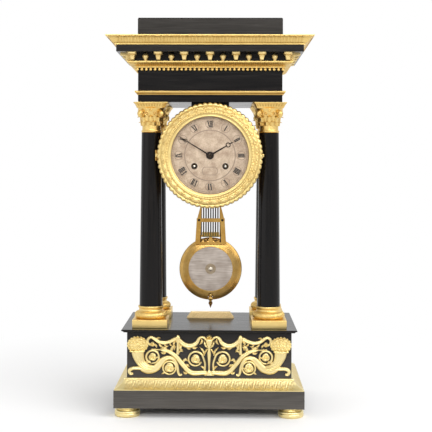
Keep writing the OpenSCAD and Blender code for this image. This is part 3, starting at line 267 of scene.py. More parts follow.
def rosette(x, z, r, tall, petals, back=0.0, n=40, swirl=0.0):
    """A flower on an upright face: round a raised eye the height and the edge ripple with the petals, which
    lean round by the swirl towards the edge."""
    rho = np.r_[np.linspace(0, 1, 14), 1][:, None]
    a = around(n)
    petal = np.abs(np.cos(petals * a / 2 + swirl * rho)) ** 0.7
    out = r * rho * (0.85 + 0.15 * petal * rho)
    dome = np.sin(np.pi * np.clip(rho * 0.85 + 0.08, 0, 1)) ** 0.6
    form = dome * (0.68 + 0.32 * petal * ease(rho * 3))
    high = form * (1 - 0.35 * ridge(rho - 0.3, 0.09)) + 0.25 * ridge(rho, 0.2)
    high[-1] = 0
    p = np.stack([x + out * np.sin(a), back - tall * high, z + out * np.cos(a)], -1)
    # Painted shade: the low parts of the flower carry a little hollowness, which the gilt darkens
    return capped(shell(p, hollow=0.2 * np.clip(1 - high, 0, 1)))


def ball(r):
    """A ball: half circles of longitude from pole to pole."""
    b = np.linspace(-np.pi / 2, np.pi / 2, 9)[:, None]
    a = around(14)
    p = np.stack([np.cos(b) * np.cos(a), np.cos(b) * np.sin(a), np.sin(b) + 0 * a], -1)
    return shell(r * p)


def prism(points, y0, y1):
    """A flat convex plate: the outline of [x, z] rows at two depths."""
    q = np.asarray(points, float)
    return capped(shell(np.stack([np.stack([q[:, 0], np.full(len(q), y), q[:, 1]], 1) for y in (y0, y1)])))


# Reliefs from 0 to 1 of the cast mouldings: x runs along, t from 0 to 1 up the cast part

def leaves(x, t, pitch, veins):
    """Upright leaves: in each pitch a rounded leaf with a midrib and slanting veins, and a narrow tongue
    between two leaves."""
    s = np.abs(x / pitch - np.round(x / pitch))
    edge = 0.46 * np.sqrt(np.clip(1 - t**3, 0, 1))
    inside = ease((edge - s) / 0.1)
    body = 0.78 - 1.1 * s**2 + 0.25 * ridge(s, 0.05) + 0.17 * np.cos(TAU * (veins * t - 3 * s))
    tongue = 0.6 * ridge(0.5 - s, 0.1) * ease((t - 0.25) * 4)
    return np.maximum(inside * body, tongue)


def fronds(x, t, pitch):
    """Close low foliage: crossing waves along and up the moulding make small lumps, and in each pitch a wide
    wave bends them like leaves fanned from one foot."""
    bend = 0.35 * np.cos(TAU * x / pitch)
    lumps = np.cos(TAU * (3 * x / pitch + 0.55 * t)) * np.cos(TAU * (1.9 * t + bend))
    return 0.8 + 0.2 * lumps + 0.12 * np.cos(TAU * (5 * x / pitch - 0.8 * t + bend))


def sprigs(x, t, pitch):
    """Low spreading sprigs: in each pitch veins curve out from a foot, with two drilled holes beside the tip;
    a thin groove runs along both edges."""
    a = np.abs(x / pitch - np.round(x / pitch))
    veins = 0.17 * np.cos(TAU * (5 * a * (1.3 - 0.7 * t) + 0.9 * t))
    veins = veins + 0.14 * np.cos(TAU * (1.6 * t + a)) * np.cos(TAU * 7 * a)
    holes = ridge(np.hypot((a - 0.14) * pitch / 0.9, (t - 0.86) / 0.11), 1)
    grooves = ridge(t - 0.97, 0.05) + ridge(t - 0.03, 0.05)
    return np.clip(0.72 + veins - 0.8 * holes - 0.7 * grooves, 0, 1)


def chevrons(x, t, pitch):
    """Small upright tongues, two in each pitch, that lean to and fro by turns."""
    s = np.abs(x / pitch - np.round(x / pitch))
    return 0.72 + 0.28 * np.cos(TAU * (2 * s + 0.35 * (t - 0.5)))


# Materials

def srgb(code):
    """Linear colour of a six-figure sRGB hex code."""
    c = np.array([int(code[i:i + 2], 16) for i in (0, 2, 4)]) / 255
    return (*np.where(c <= 0.04045, c / 12.92, ((c + 0.055) / 1.055) ** 2.4), 1.0)


def node(tree, kind, sockets=(), output=0, **settings):
    """Adds a shader node with its settings and gives one of its outputs; each socket takes a value, or a link
    from another node's output."""
    n = tree.nodes.new("ShaderNode" + kind)
    for key, value in settings.items():
        setattr(n, key, value)
    for key, value in dict(sockets).items():
        if isinstance(value, bpy.types.NodeSocket):
            tree.links.new(value, n.inputs[key])
        else:
            n.inputs[key].default_value = value
    return n.outputs[output] if n.outputs else None


def begun(name):
    """A new material, its empty node tree, and the object's own coordinates in it."""
    m = bpy.data.materials.new(name)
    m.use_nodes = True
    m.node_tree.nodes.clear()
    return m, m.node_tree, node(m.node_tree, "TexCoord", (), "Object")


def finished(m, shader):
    """The material with its last shader linked to the output."""
    node(m.node_tree, "OutputMaterial", {"Surface": shader})
    return m


def cast_metal(name, low, high, hollow_shade, smooth, rough, grain_mm=1.8, tooth_mm=0.25):
    """Cast and gilded metal: paler on the low mounts and a deeper gold on the high ones, a painted reflection
    of the pale floor; darker by painted shade and duller in the hollows of the relief, with soft patches of
    tone and a cast grain that is drawn coarser than the real one, to show."""
    m, tree, place = begun(name)
    hollow = node(tree, "Attribute", (), "Fac", attribute_name="hollow")
    patch = node(tree, "TexNoise", {"Vector": place, "Scale": 1 / (18 * MM), "Detail": 3.0})
    grain = node(tree, "TexNoise", {"Vector": place, "Scale": 1 / (grain_mm * MM), "Detail": 4.0})
    height = node(tree, "SeparateXYZ", {0: place}, "Z")
    # Painted reflection: by height the low mounts turn paler and the high ones a deeper gold, as if lit from
    # the pale floor
    raised = node(tree, "MapRange", {"Value": height, "From Min": 90 * MM, "From Max": 118 * MM})
    bright = node(tree, "Mix", {0: raised, 6: srgb(low), 7: srgb(high)}, 2, data_type="RGBA")
    tone = node(tree, "MapRange", {"Value": patch, "From Min": 0.35, "From Max": 0.7, "To Max": 0.18})
    # Painted shade: the deeper the relief's hollow, the more the colour turns to the darker gold; the patches
    # of tone add to it at random
    share = node(tree, "Math", {0: hollow, 1: 0.8, 2: tone}, operation="MULTIPLY_ADD", use_clamp=True)
    colour = node(tree, "Mix", {0: share, 6: bright, 7: srgb(hollow_shade)}, 2, data_type="RGBA")
    dull = node(tree, "MapRange", {"Value": grain, "From Min": 0.3, "From Max": 0.7, "To Min": smooth,
                                   "To Max": rough})
    duller = node(tree, "Math", {0: hollow, 1: 0.15, 2: dull}, operation="MULTIPLY_ADD")
    tooth = node(tree, "Bump", {"Height": grain, "Strength": 0.4, "Distance": tooth_mm * MM})
    return finished(m, node(tree, "BsdfPrincipled", {"Base Color": colour, "Metallic": 1.0,
                                                     "Roughness": duller, "Normal": tooth}))


def brushed_metal(name, pale, dark, smooth, rough, stretch, line_mm=0.35):
    """Metal with fine parallel brush lines: noise drawn out along one way, by the stretch of each axis. The
    lines are drawn coarser than real ones, to show."""
    m, tree, place = begun(name)
    drawn = node(tree, "Mapping", {"Vector": place, "Scale": stretch})
    lines = node(tree, "TexNoise", {"Vector": drawn, "Scale": 1 / (line_mm * MM), "Detail": 3.0})
    cloud = node(tree, "TexNoise", {"Vector": place, "Scale": 1 / (50 / 3 * MM), "Detail": 2.0})
    both = node(tree, "Math", {0: lines, 1: cloud}, operation="MULTIPLY")
    share = node(tree, "MapRange", {"Value": both, "From Min": 0.12, "From Max": 0.42})
    colour = node(tree, "Mix", {0: share, 6: srgb(dark), 7: srgb(pale)}, 2, data_type="RGBA")
    dull = node(tree, "MapRange", {"Value": lines, "From Min": 0.3, "From Max": 0.7, "To Min": rough,
                                   "To Max": smooth})
    tooth = node(tree, "Bump", {"Height": lines, "Strength": 0.2, "Distance": 0.05 * MM})
    return finished(m, node(tree, "BsdfPrincipled", {"Base Color": colour, "Metallic": 1.0,
                                                     "Roughness": dull, "Normal": tooth}))


def turned_metal(name, pale, dark, rough, z_mid):
    """Brass turned on a lathe about the line along y at the height z_mid: rings of tone, drawn coarser than
    real tool marks, and a gloss that the marks draw out across themselves, so light runs in a band from the
    middle to the edge."""
    m, tree, place = begun(name)
    centred = node(tree, "Mapping", {"Vector": place, "Location": (0, 0, -z_mid * MM),
                                     "Scale": (1.0, 0.0, 1.0)})
    radius = node(tree, "VectorMath", {0: centred}, "Value", operation="LENGTH")
    marks = node(tree, "TexNoise", {"W": radius, "Scale": 1 / (0.7 * MM), "Detail": 3.0},
                 noise_dimensions="1D")
    cloud = node(tree, "TexNoise", {"Vector": place, "Scale": 1 / (9 * MM), "Detail": 3.0})
    both = node(tree, "Math", {0: marks, 1: cloud}, operation="MULTIPLY")
    share = node(tree, "MapRange", {"Value": both, "From Min": 0.12, "From Max": 0.42})
    colour = node(tree, "Mix", {0: share, 6: srgb(dark), 7: srgb(pale)}, 2, data_type="RGBA")
    return finished(m, node(tree, "BsdfPrincipled", {
        "Base Color": colour, "Metallic": 1.0, "Roughness": rough, "Anisotropic": 0.75, "Tangent": centred}))


def ebonised(name, grain_way):
    """Ebonised pear wood under a shellac polish: near-black stain with faint brown grain drawn out along the
    board, a soft gloss, a painted reflection of the pale floor greying the low boards, and greyer towards the
    top."""
    m, tree, place = begun(name)
    drawn = node(tree, "Mapping", {"Vector": place, "Scale": grain_way})
    grain = node(tree, "TexNoise", {"Vector": drawn, "Scale": 1 / (1.6 * MM), "Detail": 5.0,
                                    "Roughness": 0.6})
    share = node(tree, "MapRange", {"Value": grain, "From Min": 0.35, "From Max": 0.75})
    stain = node(tree, "Mix", {0: share, 6: srgb("090809"), 7: srgb("15110f")}, 2, data_type="RGBA")
    # Greyer colours, mixed in by the painted floor reflection low down and towards the top
    greyed = node(tree, "Mix", {0: share, 6: srgb("484541"), 7: srgb("585450")}, 2, data_type="RGBA")
    height = node(tree, "SeparateXYZ", {0: place}, "Z")
    # Painted reflection: greyer towards the floor, where the gloss would mirror the pale floor
    painted_floor_reflection = node(tree, "MapRange", {"Value": height, "From Min": 110 * MM, "From Max": 20 * MM})
    # Greyer towards the top of the case
    greyer_top = node(tree, "MapRange", {"Value": height, "From Min": 445 * MM, "From Max": 475 * MM,
                                    "To Max": 0.4})
    # The greater of the painted floor reflection low down and the greyer top
    worn = node(tree, "Math", {0: painted_floor_reflection, 1: greyer_top}, operation="MAXIMUM")
    colour = node(tree, "Mix", {0: worn, 6: stain, 7: greyed}, 2, data_type="RGBA")
    dull = node(tree, "MapRange", {"Value": grain, "From Min": 0.3, "From Max": 0.7, "To Min": 0.15,
                                   "To Max": 0.28})
    pores = node(tree, "Bump", {"Height": grain, "Strength": 0.06, "Distance": 0.1 * MM})
    return finished(m, node(tree, "BsdfPrincipled", {"Base Color": colour, "Roughness": dull, "IOR": 1.3,
                                                     "Normal": pores}))


def silvered(name):
    """Silvered brass dial: warm grey silver, matt, clouded and flecked, and engine turned with rings round
    the middle, drawn coarser than real ones, to show. The wave node repeats every TAU / (20 x scale)."""
    m, tree, place = begun(name)
    centred = node(tree, "Mapping", {"Vector": place, "Location": (0, 0, -Z_HEAD * MM)})
    rings = node(tree, "TexWave", {"Vector": centred, "Scale": TAU / (20 * 2.6 * MM), "Distortion": 2.0,
                                   "Detail": 1.0, "Detail Scale": 1.5}, "Fac", wave_type="RINGS",
                 rings_direction="Y")
    cloud = node(tree, "TexNoise", {"Vector": place, "Scale": 1 / (9 * MM), "Detail": 5.0, "Roughness": 0.65})
    fleck = node(tree, "TexNoise", {"Vector": place, "Scale": 1 / (1.2 * MM), "Detail": 3.0})
    mottle = node(tree, "Math", {0: fleck, 1: 0.45, 2: cloud}, operation="MULTIPLY_ADD")
    share = node(tree, "MapRange", {"Value": mottle, "From Min": 0.5, "From Max": 0.95})
    colour = node(tree, "Mix", {0: share, 6: srgb("d2bea6"), 7: srgb("a08872")}, 2, data_type="RGBA")
    tooth = node(tree, "Bump", {"Height": rings, "Strength": 0.18, "Distance": 0.1 * MM})
    return finished(m, node(tree, "BsdfPrincipled", {"Base Color": colour, "Metallic": 0.35, "Roughness": 0.5,
                                                     "Normal": tooth}))


def wax(name, dark, light):
    """Wax rubbed into engraving: dull, with faint paler flecks."""
    m, tree, place = begun(name)
    fleck = node(tree, "TexNoise", {"Vector": place, "Scale": 1 / (0.8 * MM), "Detail": 3.0})
    colour = node(tree, "Mix", {0: fleck, 6: srgb(dark), 7: srgb(light)}, 2, data_type="RGBA")
    return finished(m, node(tree, "BsdfPrincipled", {"Base Color": colour, "Roughness": 0.55}))


def window_glass(name):
    """Thin clear glass: almost all light passes straight through, with faint cloudiness from old polish."""
    m, tree, place = begun(name)
    haze = node(tree, "TexNoise", {"Vector": place, "Scale": 1 / (14 * MM), "Detail": 2.0})
    dull = node(tree, "MapRange", {"Value": haze, "To Max": 0.05})
    return finished(m, node(tree, "BsdfPrincipled", {"Base Color": srgb("fafcfb"), "Roughness": dull,
                                                     "IOR": 1.5, "Transmission Weight": 1.0, "Alpha": 0.12}))


EVEN, UPRIGHT, LEVEL = (1.0, 1.0, 1.0), (1.0, 1.0, 0.06), (0.05, 1.0, 1.0)
# Fire gilding: warm pale gold, soft gloss; painted shade browns the hollows, a painted floor reflection pales
# the low mounts
GILT = cast_metal("fire_gilt_bronze", "f5e4a8", "f0d084", "b98f44", 0.3, 0.46)
# Unburnished gilding: the studs stay even in tone, without glints
MATT_GILT = cast_metal("matt_gilt_studs", "f4dc9c", "f4dc9c", "b88c48", 0.52, 0.66)
# Burnished gilding with a coarser tooth: a sparkle over the bezel's leaves
BEZEL_GILT = cast_metal("burnished_gilt_bezel", "ebd28e", "ebd28e", "a97c34", 0.3, 0.46, 2.0, 0.5)
# Gilding worn by dusting: pale and dull straw gold
WORN_GILT = cast_metal("worn_gilt_plate", "e2cb9a", "e2cb9a", "94783f", 0.42, 0.58)
# Lacquered sheet brass: clean yellow with upright brush lines
BRASS = brushed_metal("lacquered_brass", "dcb264", "b98c44", 0.2, 0.32, (1.0, 1.0, 0.08))
# Brass fresh from the lathe: rings of tone, light in bands
BOB_BRASS = turned_metal("turned_bob_brass", "e0ba74", "c4984e", 0.36, Z_BOB)
# Polished steel: cool grey with sharp glints
STEEL = brushed_metal("polished_steel", "b4b6ba", "7c7e84", 0.18, 0.3, UPRIGHT)
# Oiled dark steel: the gridiron's rods read as brown-black lines
ROD_STEEL = brushed_metal("dark_rod_steel", "5c524b", "3a322d", 0.3, 0.45, UPRIGHT)
# Steel blued by heat, aged to brown black: hands and pins
BLUED = brushed_metal("blued_steel", "463d38", "26211f", 0.3, 0.45, EVEN)
# Dark olive brass: the comb is olive and dull
COMB_BRASS = brushed_metal("olive_comb_brass", "7c6e44", "594e2f", 0.35, 0.5, (1.0, 1.0, 0.1))
# Key-polished steel ends, painted near white as a highlight: bright spots in the winding holes
GLINT_PAINTED_STEEL = brushed_metal("steel_ends_painted_glint", "fbf4e4", "e4dac8", 0.3, 0.4, EVEN)
# Silvering rubbed through round the boss: a browner halo
WORN_DISC = brushed_metal("worn_disc_middle", "b3a48e", "8e7d66", 0.4, 0.5, LEVEL, 0.8)
# Bell metal: reddish yellow with turning lines
BELL_METAL = brushed_metal("bell_metal", "c69a4a", "8c6526", 0.25, 0.4, (1.0, 0.1, 1.0))
# Silvered disc: pinkish grey with coarse level streaks
BOB_SILVER = brushed_metal("silvered_bob_disc", "cfc4ba", "a09388", 0.32, 0.46, LEVEL, 0.8)
# Silvered dial: matt and mottled, so that the numerals read
SILVER = silvered("silvered_dial_brass")
# Wax in deep and in worn engraving: black numerals, faint brown lines
WAX = wax("black_dial_wax", "1a1512", "332b25")
WORN_WAX = wax("worn_dial_wax", "7c6a5a", "9a8674")
# Old window glass: clear, with a breath of haze
GLASS = window_glass("clear_bezel_glass")
# Ebonised pear: black gloss with grain along the boards, or up the columns
BOARD_WOOD = ebonised("ebonised_pear_boards", (0.04, 0.6, 1.0))
COLUMN_WOOD = ebonised("ebonised_pear_columns", (1.0, 1.0, 0.04))
FINISH = {"ebonised_wood": BOARD_WOOD, "gilt_bronze": GILT, "brass": BRASS, "steel": STEEL,
          "blued_steel": BLUED, "bell_metal": BELL_METAL, "silvered_brass": SILVER, "glass": GLASS}

# Every solid takes its own finish or its slot's
OWN = {"bob": BOB_BRASS, "bob_disc": BOB_SILVER, "gridiron_rods": ROD_STEEL,
       **dict.fromkeys(("cannon_pinion", "hand_collet", "going_arbor", "strike_arbor"), BLUED),
       **{f"column_{row}_{side}": COLUMN_WOOD for row in ("front", "rear") for side in ("left", "right")}}
BODY_OF = {n: b for b, nodes in frame["record"]["behaviour"]["bodies"].items() for n in nodes}
SLOT_OF = {s["node"]: s["material_slot"] for s in frame["record"]["subparts"]}
for name, solid in frame["nodes"].items():
    solid.data.materials.clear()
    solid.data.materials.append(OWN.get(name, FINISH[SLOT_OF[name]]))


# Pieces

def grid_faces(nu, nv, round_u, round_v):
    """Corners of the four-sided faces between neighbouring rows and columns of a grid."""
    i = np.arange(nu if round_u else nu - 1)[:, None]
    j = np.arange(nv if round_v else nv - 1)[None, :]
    i2, j2 = (i + 1) % nu, (j + 1) % nv
    sides = np.broadcast_arrays(i * nv + j, i2 * nv + j, i2 * nv + j2, i * nv + j2)
    return np.stack(sides, -1).reshape(-1, 4)


def cleaned(mesh, flat=False):
    """Merges the mesh's poles and seams, and its faces in one plane where asked."""
    work = bmesh.new()
    work.from_mesh(mesh)
    bmesh.ops.remove_doubles(work, verts=work.verts, dist=2e-6)
    if flat:
        bmesh.ops.dissolve_limit(work, angle_limit=math.radians(1), verts=work.verts, edges=work.edges)
    work.to_mesh(mesh)
    work.free()


def fitted(name, mesh, body, finish, stands_for, crisp):
    """An object of the mesh that rides on its body; edges sharper than the crisp angle stay sharp."""
    mesh.shade_smooth()
    mesh.set_sharp_from_angle(angle=math.radians(crisp))
    mesh.materials.clear()
    mesh.materials.append(finish)
    obj = bpy.data.objects.new(name, mesh)
    bpy.context.collection.objects.link(obj)
    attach(obj, body)
    if stands_for:
        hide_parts(*stands_for)
    return obj


def piece(name, body, finish, slot, shells, *stands_for):
    """One object from its shells, each turned so that its volume is positive."""
    points, faces, hollows, start = [], [], [], 0
    for p, round_u, round_v, hollow in shells:
        flat, f = p.reshape(-1, 3), grid_faces(*p.shape[:2], round_u, round_v)
        a, b, c, d = (flat[f[:, k]] - flat.mean(0) for k in range(4))
        bulk = (a * (np.cross(b, c) + np.cross(c, d))).sum()
        points.append(flat)
        faces.append((f if bulk > 0 else f[:, ::-1]) + start)
        hollows.append(hollow.reshape(-1))
        start += len(flat)
    mesh = bpy.data.meshes.new(name)
    mesh.from_pydata(np.vstack(points) * MM, [], np.vstack(faces).tolist())
    mesh.attributes.new("hollow", "FLOAT", "POINT").data.foreach_set("value", np.concatenate(hollows))
    cleaned(mesh)
    return fitted(name, mesh, body, finish, stands_for, 38)


def gilt(name, solid, shells, finish=GILT):
    """A gilt cast on the case that stands for its solid."""
    return piece(name, "case", finish, "gilt_bronze", shells, solid)


def eased(name, solid, width):
    """A copy of a solid whose sharp edges are rounded over by the width."""
    mesh = frame["nodes"][solid].data.copy()
    cleaned(mesh, flat=True)
    obj = fitted(name, mesh, BODY_OF[solid], FINISH[SLOT_OF[solid]], (solid,), 30)
    edges = obj.modifiers.new("rounded_edges", "BEVEL")
    edges.width, edges.segments, edges.limit_method = width * MM, 3, "ANGLE"
    edges.angle_limit, edges.use_clamp_overlap = math.radians(40), True


# Black boards with rounded edges
for solid, width in (("plinth", 0.7), ("die", 0.4), ("slab", 0.35), ("entablature_box", 0.4), ("corona", 0.5),
                     ("attic_block", 0.8), ("drum_saddle", 0.5)):
    eased(solid + "_board", solid, width)

# Turned feet: a rounded disc, a groove, a ring and a neck under the plinth
foot = turned(run([[0, 0], [13.4, 0], [14.9, 0.5], [15.8, 1.6], [16, 3], [15.9, 4.2], [15.4, 4.9],
                   [15.2, 5.2], [15.6, 5.5], [15.9, 6.2], [15.7, 7.2], [15, 8], [13.8, 8.4], [12.6, 8.7],
                   [12.4, 9.4], [13.2, 10.2], [13.6, 11.2], [13.6, 12], [0, 12]], 0.8), 80)
gilt("turned_feet", "feet", corners([foot], FOOT_X, FOOT_Y))

# Leaf-cast moulding on the plinth
profile, t = joined((run([[0, 0], [14.7, 0], [14.7, 0.8], [14.3, 1.1]], 4), False),
                    (line([[13.8, 1.2], [10.4, 3.2], [6.6, 6.4], [3.4, 10.2]], 30), True),
                    (run([[3.1, 10.3], [2.9, 10.7]], 0.4), False), (arc(1.9, 12, 1.2, -50, 80, 8), False),
                    (run([[1.6, 13.2], [0, 13.2]], 4), False))
gilt("base_leaf_moulding", "base_moulding",
     [moulding(DIE_W, DIE_D, profile + (0, Z_DIE), t, lambda x, v: fronds(x, v, 13.6), 0.8)])

# Fillet round the architrave
profile, t = joined((run([[0, 0], [1, 0]], 2), False), (ogee([1.2, 0.4], [3.7, 3.3], 10), True),
                    (arc(3.2, 3.9, 0.9, -30, 80, 6), False), (run([[2.6, 4.9], [0, 4.9]], 2), False))
gilt("architrave_bead", "architrave_fillet",
     [moulding(FRIEZE_W, FRIEZE_D, profile + (0, Z_FILLET), t, lambda x, v: v + 0 * x, 0.02, 4)])

# Bead moulding: a row of round beads under a leafed slope
BEAD_PITCH, BEAD_R = 5.54, 2.05
profile, t = joined((run([[0, 4.1], [2.9, 4.1], [3.1, 4.6]], 2), False),
                    (ogee([3.3, 4.8], [12.6, 10.5], 22), True),
                    (run([[13, 10.6], [13, 11.5], [0, 11.5]], 3), False))
beads = []
for length, across, turn in ((FRIEZE_W, FRIEZE_D, 0), (FRIEZE_D, FRIEZE_W, 90)):
    count = round((length + 4) / BEAD_PITCH)
    xs = (np.arange(count) - (count - 1) / 2) * BEAD_PITCH
    row = [s for x in xs for side in (-1, 1)
           for s in moved([ball(BEAD_R)], x, side * (across / 2 + 2), Z_BEAD + 2.1)]
    beads += swung(row, turn)
slope = moulding(FRIEZE_W, FRIEZE_D, profile + (0, Z_BEAD), t, lambda x, v: chevrons(x, v, BEAD_PITCH), 0.8)
gilt("bead_and_leaf_moulding", "bead_moulding", [slope] + beads)

# Cornice: scroll-cast hollow between two lips
profile, t = joined((run([[0, 0], [5.7, 0], [5.7, 1.2]], 3), False),
                    (line([[6.1, 1.2], [8.2, 2.8], [11.6, 7.3], [15.4, 9.7]], 26), True),
                    (run([[16.1, 9.7], [16.1, 10.9], [0, 10.9]], 3), False))
gilt("cornice_scroll_moulding", "cornice_moulding",
     [moulding(FRIEZE_W + CORONA_GROWTH, FRIEZE_D + CORONA_GROWTH, profile + (0, Z_CORNICE), t,
               lambda x, v: sprigs(x, v, 18.8), 0.8)])


# Brackets and balls under the corona
def boxy(wave):
    """A sine wave flattened towards a square one: its sign times the 0.3 power of its size."""
    return np.sign(wave) * np.abs(wave) ** 0.3


# A bracket's height, half width and reach: it widens upwards to a flat head; a ball stands in a small cup
BRACKET = np.array([[1.5, 2.0, 8.2], [1.9, 2.4, 8.6], [6.6, 3.3, 9.2], [7.3, 3.7, 9.8], [7.8, 4.6, 12.6],
                    [8.1, 5.2, 16.2], [10.4, 5.25, 16.4]])
climb = run(BRACKET[:, :2], 0.5)
reach = np.interp(climb[:, :1], BRACKET[:, 0], BRACKET[:, 2])
a = around(48)
bx, by = climb[:, 1:] * boxy(np.cos(a)), -reach / 2 * (1 - boxy(np.sin(a)))
bracket = capped(shell(np.stack([bx, by, climb[:, :1] + 0 * bx], -1)))
knob = turned(np.vstack([run([[0, 0], [1.9, 0], [2.1, 0.5], [1.8, 1.2], [2.3, 2.2], [2.6, 3.0]], 0.6),
                         arc(0, 5.9, 3.85, -46, 90, 16)]), 32)
studs = []
for count, pitch, wall, turn in ((7, 32.3, FRIEZE_D / 2 + 6, 0), (5, FRIEZE_D / 4, FRIEZE_W / 2 + 6, 90)):
    xs = (np.arange(count) - (count - 1) / 2) * pitch
    row = [s for x in xs for s in moved([bracket], x, -wall, Z_BAND)]
    row += [s for x in xs[:-1] + pitch / 2 for s in moved([knob], x, -wall - 4.2, Z_BAND)]
    studs += swung(row, turn) + swung(row, turn + 180)
gilt("frieze_brackets_and_balls", "frieze_studs", studs, MATT_GILT)

# Column bases: square block, leafed torus, hollow and flared collar
torus, t = joined((run([[0, 10], [16.5, 10.1]], 4), False), (arc(15.9, 14.8, 4.7, -90, 78, 27), True),
                  (run([[16.2, 19.8], [15.3, 20.6], [15.0, 21.8], [15.2, 23], [16, 23.9], [16.25, 25],
                        [16, 26.1], [0, 26.1]], 0.7), False))
a = around(340)
low = (1 - np.clip(fronds(a / TAU * 20, np.maximum(t, 0)[:, None], 1), 0, 1)) * (t >= 0)[:, None]
# Painted shade: the leaves' sunk parts carry hollowness, which the gilt darkens
base = [board(44, 44, 0, 10.44, 0.6), turned(torus, 340, -0.9 * low, low)]
gilt("column_base_casts", "column_bases", corners(moved(base, z=Z_FLOOR), COLUMN_X, COLUMN_Y))


# Capitals
def acanthus(turn, z0, high, wide, foot_r, reach):
    """A capital's leaf: it climbs the bell, leans out by the reach and drops its tip. Across it the height
    falls to lobed edges from a midrib with ribs beside it, and the back runs close behind the front."""
    u = np.linspace(0, 1, 18)[:, None]
    s = np.linspace(-1, 1, 13)
    s = np.r_[s, s[-2:0:-1]][None, :]
    back = np.r_[np.zeros(13), np.ones(11)][None, :]
    half = wide / 2 * (0.72 + 0.38 * np.sin(np.pi * u**0.8)) * np.sqrt(np.clip(1.02 - u**4, 0, 1))
    half = half * (1 - 0.2 * np.abs(np.sin(4 * np.pi * u)) * ease(u * 4))
    curl = ease((u - 0.55) / 0.45)
    r = foot_r + 0.4 + 0.9 * u + reach * curl**1.5
    z = z0 + high * (u - 0.34 * np.clip(u - 0.78, 0, 1) / 0.22 * curl)
    front = 0.9 * (1 - s**2) + 0.5 * ridge(s, 0.14) - 0.3 * ridge(np.abs(s) - 0.45, 0.12) * ease(u * 3)
    r = r + np.where(back > 0, -0.7, front) - 0.5 * s**2
    angle = np.radians(turn) + s * half / (foot_r + 1)
    p = np.stack([r * np.sin(angle), -r * np.cos(angle), z + 0 * angle], -1)
    # Painted shade: the leaf's edges and the grooves beside its ribs carry hollowness, which the gilt darkens
    return capped(shell(p, hollow=np.clip(0.9 - front, 0, 1) * np.ones_like(r)))


def abacus():
    """The capital's top slab: a square with hollow sides and cut corners, flaring to its upper edge, with
    small tongues cast in its slope."""
    level = np.array([[0, 0.80], [0.9, 0.83], [1.3, 0.85], [1.6, 0.84], [5.6, 0.955], [5.9, 0.98], [6.4, 1.0],
                      [7.5, 1.0]])
    level = run(level * (1, 20), 0.5) / (1, 20)
    k = np.linspace(-1, 1, 40, endpoint=False)
    edge = np.concatenate([np.stack([21.75 - 2.4 * (1 - k**2), 19 * k], 1) @ np.array([[c, s], [-s, c]])
                           for c, s in ((1, 0), (0, 1), (-1, 0), (0, -1))])
    tongue = 0.5 - 0.5 * np.cos(TAU * np.arange(len(edge)) / 4)[None, :]
    mid = ridge(level[:, :1] - 3.6, 1.6)
    scale = level[:, 1:] - 0.03 * mid * tongue
    x, y = edge[:, 0] * scale, edge[:, 1] * scale
    # Painted shade: the sunk tongues carry hollowness, which the gilt darkens
    return capped(shell(np.stack([x, y, 30.4 + level[:, :1] + 0 * x], -1), hollow=mid * tongue))


neck = np.vstack([run([[0, 0], [12.5, 0]], 4), arc(11.6, 1.6, 1.5, -70, 80, 12),
                  run([[11.8, 3.5], [11.8, 9.5], [12.2, 12.5], [13.0, 17], [14.2, 22], [15.8, 26],
                       [17.6, 30.5], [0, 30.5]], 1.4)])
capital = [turned(neck, 64), abacus()]
capital += [acanthus(36 * k + 18, 8.6, 6.4, 8.4, 11.9, 2.2) for k in range(10)]
capital += [acanthus(45 * k, 13.2, 9.4 - k % 2, 8.8, 12.6, 3.4) for k in range(8)]
scroll = turned(run([[0, -2.7], [3.2, -2.7], [4.3, -2.2], [4.8, -1.2], [4.8, 1.2], [4.3, 2.2], [3.2, 2.7],
                     [0, 2.7]], 1.2), 28, face=True)
coil = stem(spiral(0, 0, 4.0, 0.6, 200, -480, 1.5, 1.1, 60), 0.9, 64, 7, 0, back=-2.6)
volute = moved([scroll, coil] + swung(mirrored([coil]), 180), 17.6, 0, 23.4)
middle = [stem(spiral(side * 4.6, 24.2, 3.0, 0.7, 90 - side * 170, 90 + side * 300, 1.7, 1.1, 40),
               1.6, 44, 7, 0.2, back=-14.4) for side in (-1, 1)]
middle.append(rosette(0, 28.6, 2.4, 2.0, 5, -15.6, 25))
for k in range(4):
    capital += swung(volute, 90 * k + 45) + swung(middle, 90 * k)
gilt("capital_casts", "capitals", corners(moved(capital, z=Z_CAPITAL), COLUMN_X, COLUMN_Y))

# Bezel: scalloped rim, leafed slope, groove with drilled dots, fretted ridge and hollow inner lip
SCALLOPS, LEAF_COUNT, FRETS, STEPS = 63, 31, 99, 1134
swell = np.linspace(-0.4, 1.4, 18)
profile, t = joined((run([[51.1, 0], [63.4, 0], [64.3, 0.8], [64.6, 2.0]], 2), False),
                    (np.stack([63.0 + 3.1 * np.cos(swell), 3.6 + 3.6 * np.sin(swell)], 1), True),
                    (run([[63.0, 7.1], [62.7, 7.0]], 0.3), False),
                    (line([[62.4, 7.2], [61.6, 8.8], [60.0, 9.9], [58.4, 10.2], [57.5, 9.7]], 20), True),
                    (run([[57.0, 9.1], [56.2, 8.9]], 0.3), False), (arc(54.0, 9.0, 1.5, 10, 165, 12), False),
                    (run([[52.2, 9.0], [51.5, 8.5], [50.4, 8.3], [49.9, 8.5], [49.3, 8.4], [48.9, 7.9],
                          [48.9, 7.26], [51.1, 7.26]], 0.5), False))
a, v = around(STEPS), np.clip(t, 0, 1)[:, None]
radius, height, cast = profile[:, :1], profile[:, 1:], (t >= 0)[:, None]
rim = cast & (height < 7.3) & (radius > 62.9)
belly = rim * np.sin(np.pi * np.clip(0.2 + 0.75 * v, 0, 1))
bump = np.abs(np.cos(SCALLOPS * a / 2)) ** 0.6
notch = (1 - bump) * belly
low = (cast & ~rim) * np.clip(1 - leaves(a / TAU, v, 1 / LEAF_COUNT, 3), 0, 1)
low = low * ease(v * 5) * ease((1 - v) * 5)
dots = ridge(np.hypot((a * LEAF_COUNT / TAU % 1 - 0.5) * 12, (radius - 56.5) / 0.9), 0.8) * (height > 8)
